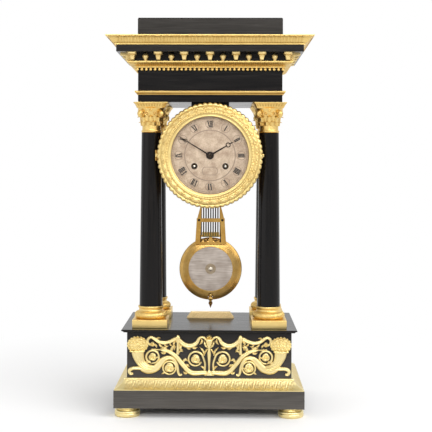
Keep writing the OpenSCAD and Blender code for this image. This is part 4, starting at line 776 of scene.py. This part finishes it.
fret = ((radius > 52.4) & (radius < 55.6) & (height > 9)) * (0.5 - 0.5 * np.cos(FRETS * a))
# Painted shade: the notches, leaves, dots and frets carry hollowness, which the gilt darkens
ring = turned(profile, STEPS, 0.8 * bump * belly - 0.9 * notch - 1.1 * low - 0.5 * dots - 0.35 * fret,
              np.clip(0.7 * notch + 0.6 * low + 0.7 * dots + 0.3 * fret, 0, 1), face=True, whole=True)
knuckle = turned(np.array(oblong(0.65, 1.2, -2, 2)), 24, whole=True)
bezel = moved([ring], 0, Y_BEZEL, Z_HEAD) + moved([knuckle], HINGE_X, Y_BEZEL - 1.6, Z_HEAD)
bezel += moved([board(5, 1.6, -2.2, 2.2, 0.5)], HINGE_X + 2.9, Y_BEZEL - 1.7, Z_HEAD)
bezel += moved([board(3.6, 1.8, -2, 2, 0.5)], CATCH_X, Y_BEZEL - 2.2, Z_HEAD)
piece("bezel_cast", "bezel_door", BEZEL_GILT, "gilt_bronze", bezel, "bezel")


# Dial: wax-filled numerals, chapter lines and minute marks, and black collars of painted shade in the winding
# holes
def numeral(letters, tall, thick, thin):
    """Strokes of a Roman numeral about its own middle: a thick bar for I, a thick and a thin slanting bar for
    V and X, closed by thin serif lines along the head and the foot."""
    def bar(foot, head, wide):
        return [[foot - wide / 2, -h], [foot + wide / 2, -h], [head + wide / 2, h], [head - wide / 2, h]]

    widths = {"I": 2.1, "V": 4.4, "X": 4.4}
    total = sum(widths[c] for c in letters)
    x, strokes, h = -total / 2, [], tall / 2
    for c in letters:
        mid, lean = x + widths[c] / 2, widths[c] * 0.36
        if c == "I":
            strokes.append(bar(mid, mid, thick))
        else:
            left, right = (mid - thin / 2, mid + thin) if c == "V" else (mid + lean, mid - lean)
            strokes += [bar(left, mid - lean, thick), bar(right, mid + lean, thin)]
        x += widths[c]
    end = total / 2 - 0.2
    return strokes + [oblong(-end, end, z - thin / 2, z + thin / 2) for z in (-h, h)]


NUMERAL_R, TRACK_IN, TRACK_OUT, PANEL_Z = 39.6, 46.4, 48.2, -19.6
front, back = Y_DIAL - 0.05, Y_DIAL + 0.1
marks, lines = [], []
for hour, letters in enumerate("XII I II III IIII V VI VII VIII IX X XI".split()):
    strokes = [np.asarray(stroke) * (0.8, 1) + (0, NUMERAL_R) for stroke in numeral(letters, 7.6, 1.75, 0.55)]
    marks += faced([prism(stroke, front, back) for stroke in strokes], 30 * hour)
    lines += faced(moved([flat_ring(5.1, 5.75, front + 0.02, back, 48)], z=NUMERAL_R), 30 * hour)
lines += [flat_ring(r0, r1, front, back) for r0, r1 in ((31.4, 32.5), (46.2, 46.45), (48.2, 48.5))]
for minute in range(60):
    half = 0.26 if minute % 5 == 0 else 0.12
    lines += faced([prism(oblong(-half, half, TRACK_IN, TRACK_OUT), front, back)], 6 * minute)
panel = np.array([[-9.4, -2.4], [-7, -4.9], [7, -4.9], [9.4, -2.4], [9.4, 2.4], [7, 4.9], [-7, 4.9],
                  [-9.4, 2.4]]) + (0, PANEL_Z)
for p0, p1 in zip(panel, np.roll(panel, -1, 0)):
    side = (p1 - p0) / np.hypot(*(p1 - p0))
    wide, over = np.array([-side[1], side[0]]) * 0.36, side * 0.1
    outline = [p0 - wide - over, p1 - wide + over, p1 + wide + over, p0 + wide - over]
    lines.append(prism(outline, front + 0.02, back))
piece("dial_numerals", "case", WAX, "silvered_brass", moved(marks, z=Z_HEAD))
piece("dial_engraved_lines", "case", WORN_WAX, "silvered_brass", moved(lines, z=Z_HEAD))
# Painted shade: black wax collars line the winding holes, standing for the dark inside of each hole
section = np.vstack([run([[3.0, -4.6], [3.75, -4.6], [3.75, 0]], 0.8), arc(3.45, 0.05, 0.55, 0, 180, 9)])
collar = turned(section, 60, face=True, whole=True)
piece("winding_hole_shade_collars", "case", WAX, "silvered_brass",
      [s for x, z in WINDING for s in moved([collar], x, Y_DIAL, Z_HEAD + z)])
end = capped(turned(line([[1.38, -0.1], [1.38, 0.15], [1.0, 0.4], [0.01, 0.5]], 12), 32, face=True))
for (x, z), solid in zip(WINDING, ("going_arbor", "strike_arbor")):
    piece(solid + "_polished_end", BODY_OF[solid], GLINT_PAINTED_STEEL, "steel",
          moved([end], x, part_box(solid)[0][1] / MM, Z_HEAD + z))


# Hands
def moon_hand(reach, hub, wide, y):
    """A hand pointing up from a round hub: a tapering blade, an open ring, the moon, and a short point."""
    ring_at, ring_r = reach * 0.78, wide * 1.35
    back = y + HAND_T
    blade = [[0, -hub * 0.9, wide * 1.1], [0, ring_at * 0.5, wide * 0.8],
             [0, ring_at - ring_r * 0.7, wide * 0.55]]
    point = [[0, ring_at + ring_r * 0.75, wide * 0.75], [0, ring_at + ring_r * 1.6, wide * 0.6],
             [0, reach, 0.3]]
    a = around(12)[0]
    section = np.stack([ring_r * (0.84 + 0.16 * np.cos(a)), HAND_T / 2 * np.sin(a)], 1)
    moon = turned(section, 40, face=True, whole=True)
    edge = run([[0, 0], [hub, 0], [hub, HAND_T * 0.7], [hub - 0.4, HAND_T], [0, HAND_T]], 0.6)
    disc = turned(edge, 48, face=True)
    return [stem(blade, HAND_T, 24, 7, 0, back=back), stem(point, HAND_T, 16, 7, 0, back=back),
            *moved([moon], 0, back - HAND_T / 2, ring_at), *moved([disc], 0, back)]


for name, solid, reach, hub, wide, y, angle in (
        ("minute_moon_hand", "minute_hand", 46, 3.6, 1.7, Y_MINUTE, MINUTE_ANGLE),
        ("hour_moon_hand", "hour_hand", 34, 5.0, 2.3, Y_HOUR, HOUR_ANGLE)):
    piece(name, BODY_OF[solid], BLUED, "blued_steel",
          moved(faced(moon_hand(reach, hub, wide, y), angle), z=Z_HEAD), solid)

# Domed collet over the end of the centre arbor
tip = min(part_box(solid)[0][1] for solid in ("hand_collet", "cannon_pinion", "centre_wheel")) / MM
dome = turned(np.vstack([[[2.1, -1.2]], arc(0, -1.0, 2.3, 4, 88, 12)]), 40, face=True)
piece("domed_hand_collet", BODY_OF["hand_collet"], BLUED, "blued_steel",
      moved([capped(dome)], 0, tip + 1.0, Z_HEAD))

# Scroll mount on the die: the left half's lines are [x, height, width] from the middle of the face
MAIN_STEM = [[-84, -15.5, 7.5], [-79, -17.6, 9], [-74, -18, 9.4], [-66.6, -16, 8.2], [-60.8, -9.9, 7.2],
             [-56.4, -5.2, 6], [-50.5, -2.9, 4.6], [-44.7, -4.9, 4], [-41, -10.4, 3.6], [-39.2, -16.2, 3.3],
             [-38.6, -21, 3], [-36.6, -24.6, 2.8], [-33.9, -23.6, 2.2]]
TAIL = [[-80, -15.8, 6], [-88, -16.2, 5], [-95, -16.4, 4.6], [-99.3, -19, 4.4], [-98.2, -23, 4],
        [-94.8, -23, 3]]
HORN = [[-89.2, 6, 16.4], [-88.4, 0, 15], [-86.4, -6, 12.6], [-83, -11.2, 10.6], [-77.6, -15, 9.6],
        [-70.6, -16.4, 8]]
LOW_STEM = [[-3, -21.6, 5], [-8, -21.4, 5], [-13.2, -21.8, 5.4], [-20.6, -21.8, 5.6], [-26.4, -18.9, 5.4],
            [-30.8, -14, 5.2], [-35.2, -8.9, 5], [-40.3, -2.3, 4.8], [-46.2, 2.2, 4.4], [-52, 5.4, 4],
            [-58, 6.4, 3.4], [-61, 6.8, 1.6], [-72, 7.4, 1.3]]
LEFT_SWAG = [[-73, 12.4, 1.8], [-76.4, 15.4, 2.2], [-76.4, 19.8, 2.6], [-72.6, 22.6, 2.8], [-68.4, 20.6, 3.2],
             [-63, 17, 3.4], [-55.7, 15.6, 3.6], [-48.4, 17.4, 3.6], [-42.5, 20.3, 4], [-39, 21, 4]]
KNOB = [[-38.9, 25, 3], [-38.9, 21.6, 6.4], [-38.9, 18, 6], [-39, 14.6, 3]]
HANGER = [[-39.1, 16, 2.4], [-39.2, 8, 2.6], [-39.3, 1, 3.2]]
RIGHT_SWAG = [[-38.5, 21, 3.6], [-36, 17.6, 4.4], [-31.5, 13.8, 5], [-25.7, 12, 5.2], [-19.8, 13, 5],
              [-15.4, 16.2, 4.2], [-13.4, 19.8, 3.4], [-10.8, 22.6, 2.8], [-6.7, 22.4, 2.6], [-2.4, 18, 2.4]]
INNER_SCROLL = np.vstack([[[-5.6, -19, 2.8], [-5.2, -10, 2.6]],
                          spiral(-16.9, -4.5, 9.6, 7.9, 25, 335, 2.8, 2)])
LEAVES = [  # short lobed leaves: foot, belly and tip
    [[-33, -10.6, 1], [-30.6, -5.4, 3.6], [-26.4, -6.8, 0.6]],
    [[-31.4, -13.4, 1], [-27.6, -12, 3.4], [-24.4, -14.4, 0.6]],
    [[-46, 3, 1], [-46.6, 8.6, 3.8], [-42.2, 13, 0.6]],
    [[-33, 14, 1], [-36.2, 9.2, 3.4], [-32.8, 6, 0.6]],
    [[-52, 5.6, 1], [-55.8, 9.2, 3.4], [-61, 8.6, 0.6]],
    [[-53, 5, 1], [-56.4, 2.4, 3], [-60.4, 3.6, 0.6]],
    [[-55, -20.4, 1], [-57, -22.2, 2.6], [-59.4, -23.4, 0.6]],
    [[-80, -11.6, 1], [-76.2, -8, 4], [-71.4, -10.6, 0.6]],
    [[-6, 0, 1.4], [-7.4, 5.6, 2.6], [-11.8, 10.4, 0.6]],
    [[-5.4, 2, 1], [-3.4, 6.6, 2.2], [-0.6, 8.4, 0.6]],
    [[-43.6, 6.4, 1], [-43.2, 9.6, 2.4], [-41, 10.8, 0.6]],
    [[-37.6, 3, 1], [-35.6, 5.6, 2.4], [-32.4, 4.4, 0.6]],
    [[-22, 11.6, 1], [-18.6, 9, 3], [-14.6, 10.4, 0.6]],
    [[-9.6, 20.6, 1], [-9.2, 16.8, 3], [-12, 13.4, 0.6]],
    [[-70, 14, 1], [-66.6, 12.2, 2.8], [-65.4, 9.2, 0.6]],
    [[-61.6, -4, 1], [-62.2, -8, 2.4], [-65, -10.4, 0.6]],
    [[-10.4, -13.2, 1], [-7.6, -14.8, 2.6], [-6.2, -18, 0.6]],
    [[-26, -21, 1], [-29.6, -22.4, 3], [-32.4, -20, 0.6]],
    [[-63, 15.6, 1], [-60.8, 11.8, 2.4], [-57.6, 11, 0.6]],
    [[-56.6, 14.8, 1], [-53.8, 11.2, 2.4], [-50.6, 11.6, 0.6]],
    [[-49.6, 16.4, 1], [-48, 12.8, 2.2], [-45.8, 12.4, 0.6]],
    [[-35.6, 16.6, 1], [-37, 12.6, 2], [-36, 9.8, 0.6]],
    [[-28.6, 11.6, 1], [-26, 8.4, 2.4], [-22.4, 8.2, 0.6]],
    [[-67.6, 8.4, 1], [-66.4, 5.4, 2], [-63.4, 4.6, 0.6]],
    [[-66, 18.6, 1], [-64.4, 21.6, 2.4], [-60.8, 21.4, 0.6]],
    [[-41.4, 18, 1], [-44, 15, 2.8], [-44.4, 11.6, 0.6]]]
RELIEF = 2.4
BUNCH_X, BUNCH_Z = -89.2, 13.2


def fuller(points, by):
    """The same line with its widths grown."""
    return np.asarray(points, float) * (1, 1, by)


half = [stem(fuller(MAIN_STEM, 1.15), RELIEF + 0.9, 100), stem(TAIL, RELIEF + 0.6, 50),
        stem(fuller(LOW_STEM, 1.15), RELIEF + 0.7, 90), stem(fuller(LEFT_SWAG, 1.35), RELIEF, 80),
        stem(KNOB, RELIEF + 1, 30), stem(fuller(HANGER, 1.2), RELIEF - 0.3, 30),
        stem(fuller(RIGHT_SWAG, 1.2), RELIEF + 0.4, 80),
        stem(spiral(-49.5, -15.5, 8.1, 8.0, 0, 372, 2.4, 2.4), RELIEF, 90, groove=0),
        stem(spiral(-70.5, -2.1, 8, 7.8, 225, -95, 3, 2), RELIEF, 80, groove=0),
        stem(INNER_SCROLL, RELIEF, 100, groove=0), stem(HORN, RELIEF + 2.2, 40, 41, 0, flutes=14),
        stem([[-98.8, 5.2, 2.4], [-89.4, 4, 3.6], [-80.2, 5.4, 2.4]], RELIEF + 3, 30)]
# Short bars that join the three rosettes to the rings round them
half += [stem(points, RELIEF, 12) for points in ([[-41.6, -15.5, 2], [-43, -15.8, 2.2], [-45, -16.5, 2]],
                                                 [[-62.7, -2.1, 2], [-64.6, -2.6, 2.2], [-67, -3, 2]],
                                                 [[-10.6, -9.6, 1.4], [-12, -9.2, 2.2], [-14, -7.4, 2]])]
half += [stem(fuller(leaf, 1.25), RELIEF - 0.2, 26, 9, 0.35, lobes=3) for leaf in LEAVES]
half += [rosette(x, z, r, RELIEF + 1, 3, n=54, swirl=6.0)
         for x, z, r in ((-49.5, -15.5, 6.2), (-70.5, -2.1, 5.1), (-16.9, -4.5, 5.8), (-70.8, 13.7, 3))]
# The horn's flowers: one in the middle and three rings round it, lower towards the edge, over a dome
bunch = [(0, 0, 2.6, 3.5)]
for count, first, wide, high, r, lift in ((6, 0, 4.4, 3.5, 2.2, 3.2), (12, 0.5, 8.2, 6.4, 2.2, 2.5),
                                          (18, 0, 11.6, 9.0, 2.0, 1.2)):
    turns = (np.arange(count) + first) * TAU / count
    bunch += [(wide * math.sin(k), high * math.cos(k), r, lift) for k in turns]
half += [rosette(BUNCH_X + x, BUNCH_Z + z, r, 1.4, 5 + i % 2, -lift, 20)
         for i, (x, z, r, lift) in enumerate(bunch)]
dome = turned(np.vstack([[[0, 0.2]], arc(0, 0, 1, 0, 90, 9) * (1, 3.6) + (0, 0.2)]), 40, face=True)
half += moved([dome], BUNCH_X, 0, BUNCH_Z, np.diag([12.2, 1, 9.6]))
middle = [stem([[0, 21, 4], [0, 17.5, 8.6], [0, 13, 6], [0, 8.6, 2.6], [0, 3, 4.6], [0, -2, 4.2], [0, -10, 3],
                [0, -18, 2.4], [0, -20, 5], [0, -24.6, 9]], RELIEF + 0.8, 80),
          rosette(0, 22.5, 3.6, RELIEF + 1.4, 5)]
for side in (-1, 1):
    leaf = [[side * 1.4, 9, 1], [side * 4.8, 13, 3.4], [side * 6.4, 18.6, 0.6]]
    curl = spiral(side * 5, -22.8, 2.8, 1.0, 90 - side * 60, 90 + side * 300, 2.2, 1.2)
    middle += [stem(leaf, RELIEF, 24, lobes=3), stem(curl, RELIEF, 40)]
gilt("horn_and_scroll_mount", "scroll_mount", moved(half + mirrored(half) + middle, 0, -DIE_D / 2, Z_MOUNT))

# Pendulum frame and small works with rounded edges
for name, solid, width in (("gridiron_bars", "gridiron_frame", 0.25), ("crutch_and_pallets", "anchor", 0.12),
                           ("back_cock", "suspension_cock", 0.25), ("bell_post_and_arm", "bell_stand", 0.2),
                           ("hammer_and_arm", "hammer", 0.15)):
    eased(name, solid, width)

# Hipped plate under the pendulum, ribbed along its slopes
profile, t = joined((run([[7.5, 0], [7.5, 0.6]], 3), False), (run([[7.2, 0.8], [3.0, 7.0]], 0.5), True),
                    (run([[2.7, 7.3], [2.5, 8]], 1), False))
p, _, _, low = moulding(48, 0, profile, t, lambda x, v: fronds(x, v, 9.0), 0.5)
gilt("hipped_plate", "beat_plate",
     moved([capped(shell(p.transpose(1, 0, 2), hollow=low.T))], 0, Y_PENDULUM, Z_FLOOR), WORN_GILT)

# Pendulum trim: pins of the upper bar, dark ends of the outer rods, foot scrolls and the toothed comb
pin = capped(turned(line([[1.6, -0.4], [1.6, 0.3], [1.1, 0.7], [0.01, 0.8]], 10), 24, face=True))
trim = [s for x in (-15.6, 15.6) for s in moved([pin], x, Y_FRAME, 239.0)]
for side in (-1, 1):
    rod_end = [[side * 13.2, z, 1.3] for z in (209.3, 214, 219)]
    curl = spiral(side * 8.2, 211.6, 1.4, 0.4, 90 + side * 110, 90 - side * 260, 0.9, 0.7, 16)
    curl = np.vstack([[[side * 3.0, 214.6, 0.7], [side * 5.0, 212.4, 0.9]], curl])
    trim += [stem(rod_end, 0.7, 12, 7, 0, back=Y_FRAME + 0.1), stem(curl, 0.6, 40, 7, 0, back=Y_FRAME + 0.1)]
piece("gridiron_pins_and_scrolls", "pendulum", BLUED, "blued_steel", trim)
TOOTH_HALF, TOOTH_PITCH = 1.15, 3.2
teeth = [oblong(-10.8, 10.8, 216.4, 217.8)]
for x in (np.arange(7) - 3) * TOOTH_PITCH:
    head = arc(x, 222.8, TOOTH_HALF, 0, 180, 9)
    teeth.append(np.vstack([[[x - TOOTH_HALF, 217.7], [x + TOOTH_HALF, 217.7]], head]))
piece("gridiron_comb", "pendulum", COMB_BRASS, "brass",
      [prism(outline, Y_FRAME, Y_FRAME + 0.5) for outline in teeth])

# Bob: a lens with a seat for the disc; its outer ring ends at a slot of two joined circles for the nut
lens = line([[32.6, 5.4], [36.6, 4.35], [39.2, 3.2], [41.2, 2.0], [42, 0.8]], 14)
rear = line([[37.8, -3.85], [39.2, -3.2], [41.2, -2.0], [42, -0.8]], 10)
body = turned(run([[0, -6], [30, -6], [32.6, -5.4], [36.6, -4.35], [37.8, -3.85], [37.8, -3.65],
                   [32.6, -3.65], [32.6, 5.4], [30.2, 6], [29.7, 6], [29.6, 4.7], [0, 4.7]], 2), 160,
              face=True)
section = np.vstack([[[37.8, -3.65]], rear, lens[::-1], [[32.6, -3.65]]])
r = section[:, 0]
slot = np.sqrt(np.maximum(np.maximum(3.75 ** 2 - (r - 40.5) ** 2, 3.34 ** 2 - (r - 35.91) ** 2), 0))
a = np.linspace(-1, 1, 160)[:, None] * (np.pi - np.arcsin(slot / r))
ring = np.stack([r * np.sin(a), -section[:, 1] + 0 * a, r * np.cos(a)], -1)
piece("turned_bob", "pendulum", BOB_BRASS, "brass",
      moved([body, capped(shell(ring))], 0, Y_PENDULUM, Z_BOB), "bob")

# Boss and halo ring in the middle of the bob's disc
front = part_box("bob_disc")[0][1] / MM
boss = turned(line([[2.65, -0.2], [2.6, 0.25], [1.5, 0.9], [0.01, 1.1]], 14), 40, face=True)
halo = turned(np.array([[2.9, -0.1], [7.2, -0.1], [7.0, 0.06], [3.1, 0.06]]), 64, face=True, whole=True)
# The boss's near-white steel is a painted highlight
piece("bob_boss", "pendulum", GLINT_PAINTED_STEEL, "steel", moved([capped(boss)], 0, front, Z_BOB))
piece("bob_halo_ring", "pendulum", WORN_DISC, "brass", moved([halo], 0, front, Z_BOB))

# Pointed end of the pendulum under the nut
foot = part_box("gridiron_frame")[0][2] / MM
point = turned(line([[0.1, foot], [1.1, foot + 3.0], [2.4, 127.9], [2.5, 128.8], [1.2, 129.3]], 24), 40)
piece("pendulum_point", "pendulum", BLUED, "blued_steel", moved([capped(point)], 0, Y_PENDULUM))

# Knurled rating nut: two balls in one, fluted round
profile = np.vstack([[[1.2, 129.9]], arc(0, 133.0, 3.4, -62, 49, 16), arc(0, 137.59, 2.99, -42, 62, 14),
                     [[1.2, 140.3]]])
flute = -0.18 * (0.5 - 0.5 * np.cos(24 * around(144))) * ridge(profile[:, :1] - 3.2, 0.8)
# Painted shade: the flutes carry hollowness, which the gilt darkens
nut = capped(turned(profile, 144, flute, -3 * flute))
piece("knurled_rating_nut", BODY_OF["rating_nut"], GILT, "brass", moved([nut], 0, Y_PENDULUM), "rating_nut")

# Stage: pale floor that keeps the shadow near the clock and turns to plain white farther out
FLOOR = 6.0
mesh = bpy.data.meshes.new("floor")
mesh.from_pydata([(x, y, 0) for x, y in oblong(-FLOOR, FLOOR, -FLOOR, FLOOR)], [], [(0, 1, 2, 3)])
floor = bpy.data.objects.new("floor", mesh)
bpy.context.collection.objects.link(floor)
m, tree, place = begun("pale_studio_floor")
rays = [node(tree, "LightPath", (), f"Is {kind} Ray") for kind in ("Camera", "Glossy", "Transmission")]
seen = node(tree, "Math", {0: rays[0], 1: rays[1]}, operation="MAXIMUM")
seen = node(tree, "Math", {0: seen, 1: rays[2]}, operation="MAXIMUM")
out = node(tree, "VectorMath", {0: place}, "Value", operation="LENGTH")
far = node(tree, "MapRange", {"Value": out, "From Min": 170 * MM, "From Max": 600 * MM})
share = node(tree, "Math", {0: seen, 1: far}, operation="MULTIPLY")
paper = node(tree, "BsdfDiffuse", {"Color": srgb("f4f4f4")})
white = node(tree, "Emission", {"Color": srgb("ffffff"), "Strength": 1.0})
mesh.materials.append(finished(m, node(tree, "MixShader", {0: share, 1: paper, 2: white})))

# World: plain white where the camera sees it; reflections see white behind and a greyer room in front
world = bpy.data.worlds.new("studio")
bpy.context.scene.world = world
world.use_nodes = True
tree = world.node_tree
tree.nodes.clear()
seen = node(tree, "LightPath", (), "Is Camera Ray")
depth = node(tree, "SeparateXYZ", {0: node(tree, "TexCoord", (), "Generated")}, "Y")
room = node(tree, "MapRange", {"Value": depth, "From Min": -0.5, "From Max": 0.5, "To Min": 0.56,
                               "To Max": 0.9})
level = node(tree, "Math", {0: seen, 1: room}, operation="MAXIMUM")
sky = node(tree, "Background", {"Color": srgb("ffffff"), "Strength": level})
node(tree, "OutputWorld", {"Surface": sky})

# Soft lamps: a large one high on the right, a wide far one in front, as from a row of windows, and a fill on
# the left. Place, aim and size in metres, power in watts.
for name, place, aim, wide, high, power in (("key", (1.6, -1.3, 1.8), (0, 0, 0.25), 2.2, 2.2, 42),
                                            ("windows", (0, -3.5, 1.75), (0, 0, 0.2), 2.4, 0.6, 46),
                                            ("fill", (-1.9, -1.3, 1.0), (0, 0, 0.25), 2.0, 2.0, 8)):
    lamp = bpy.data.lights.new(name, "AREA")
    lamp.shape, lamp.energy, lamp.size, lamp.size_y = "RECTANGLE", power, wide, high
    obj = bpy.data.objects.new(name, lamp)
    bpy.context.collection.objects.link(obj)
    way = np.subtract(aim, place)
    obj.location = place
    tilt = math.acos(-way[2] / np.linalg.norm(way))
    obj.rotation_euler = (tilt, 0, math.atan2(way[1], way[0]) - math.pi / 2)

# Camera at the photograph's angle: level, a little above the middle, with the frame shifted down
AZIMUTH, ROLL, DISTANCE, EYE = 0.9, 0.18, 1.2661, 0.3069
camera = bpy.data.cameras.new("camera")
camera.lens, camera.sensor_width = 80, 36
camera.shift_x, camera.shift_y = 0.0125, -0.1075
obj = bpy.data.objects.new("camera", camera)
bpy.context.collection.objects.link(obj)
turn = math.radians(AZIMUTH)
obj.location = (DISTANCE * math.sin(turn), -DISTANCE * math.cos(turn), EYE)
obj.rotation_euler = (math.pi / 2, -math.radians(ROLL), turn)
bpy.context.scene.camera = obj
bpy.context.scene.view_settings.view_transform = "Standard"
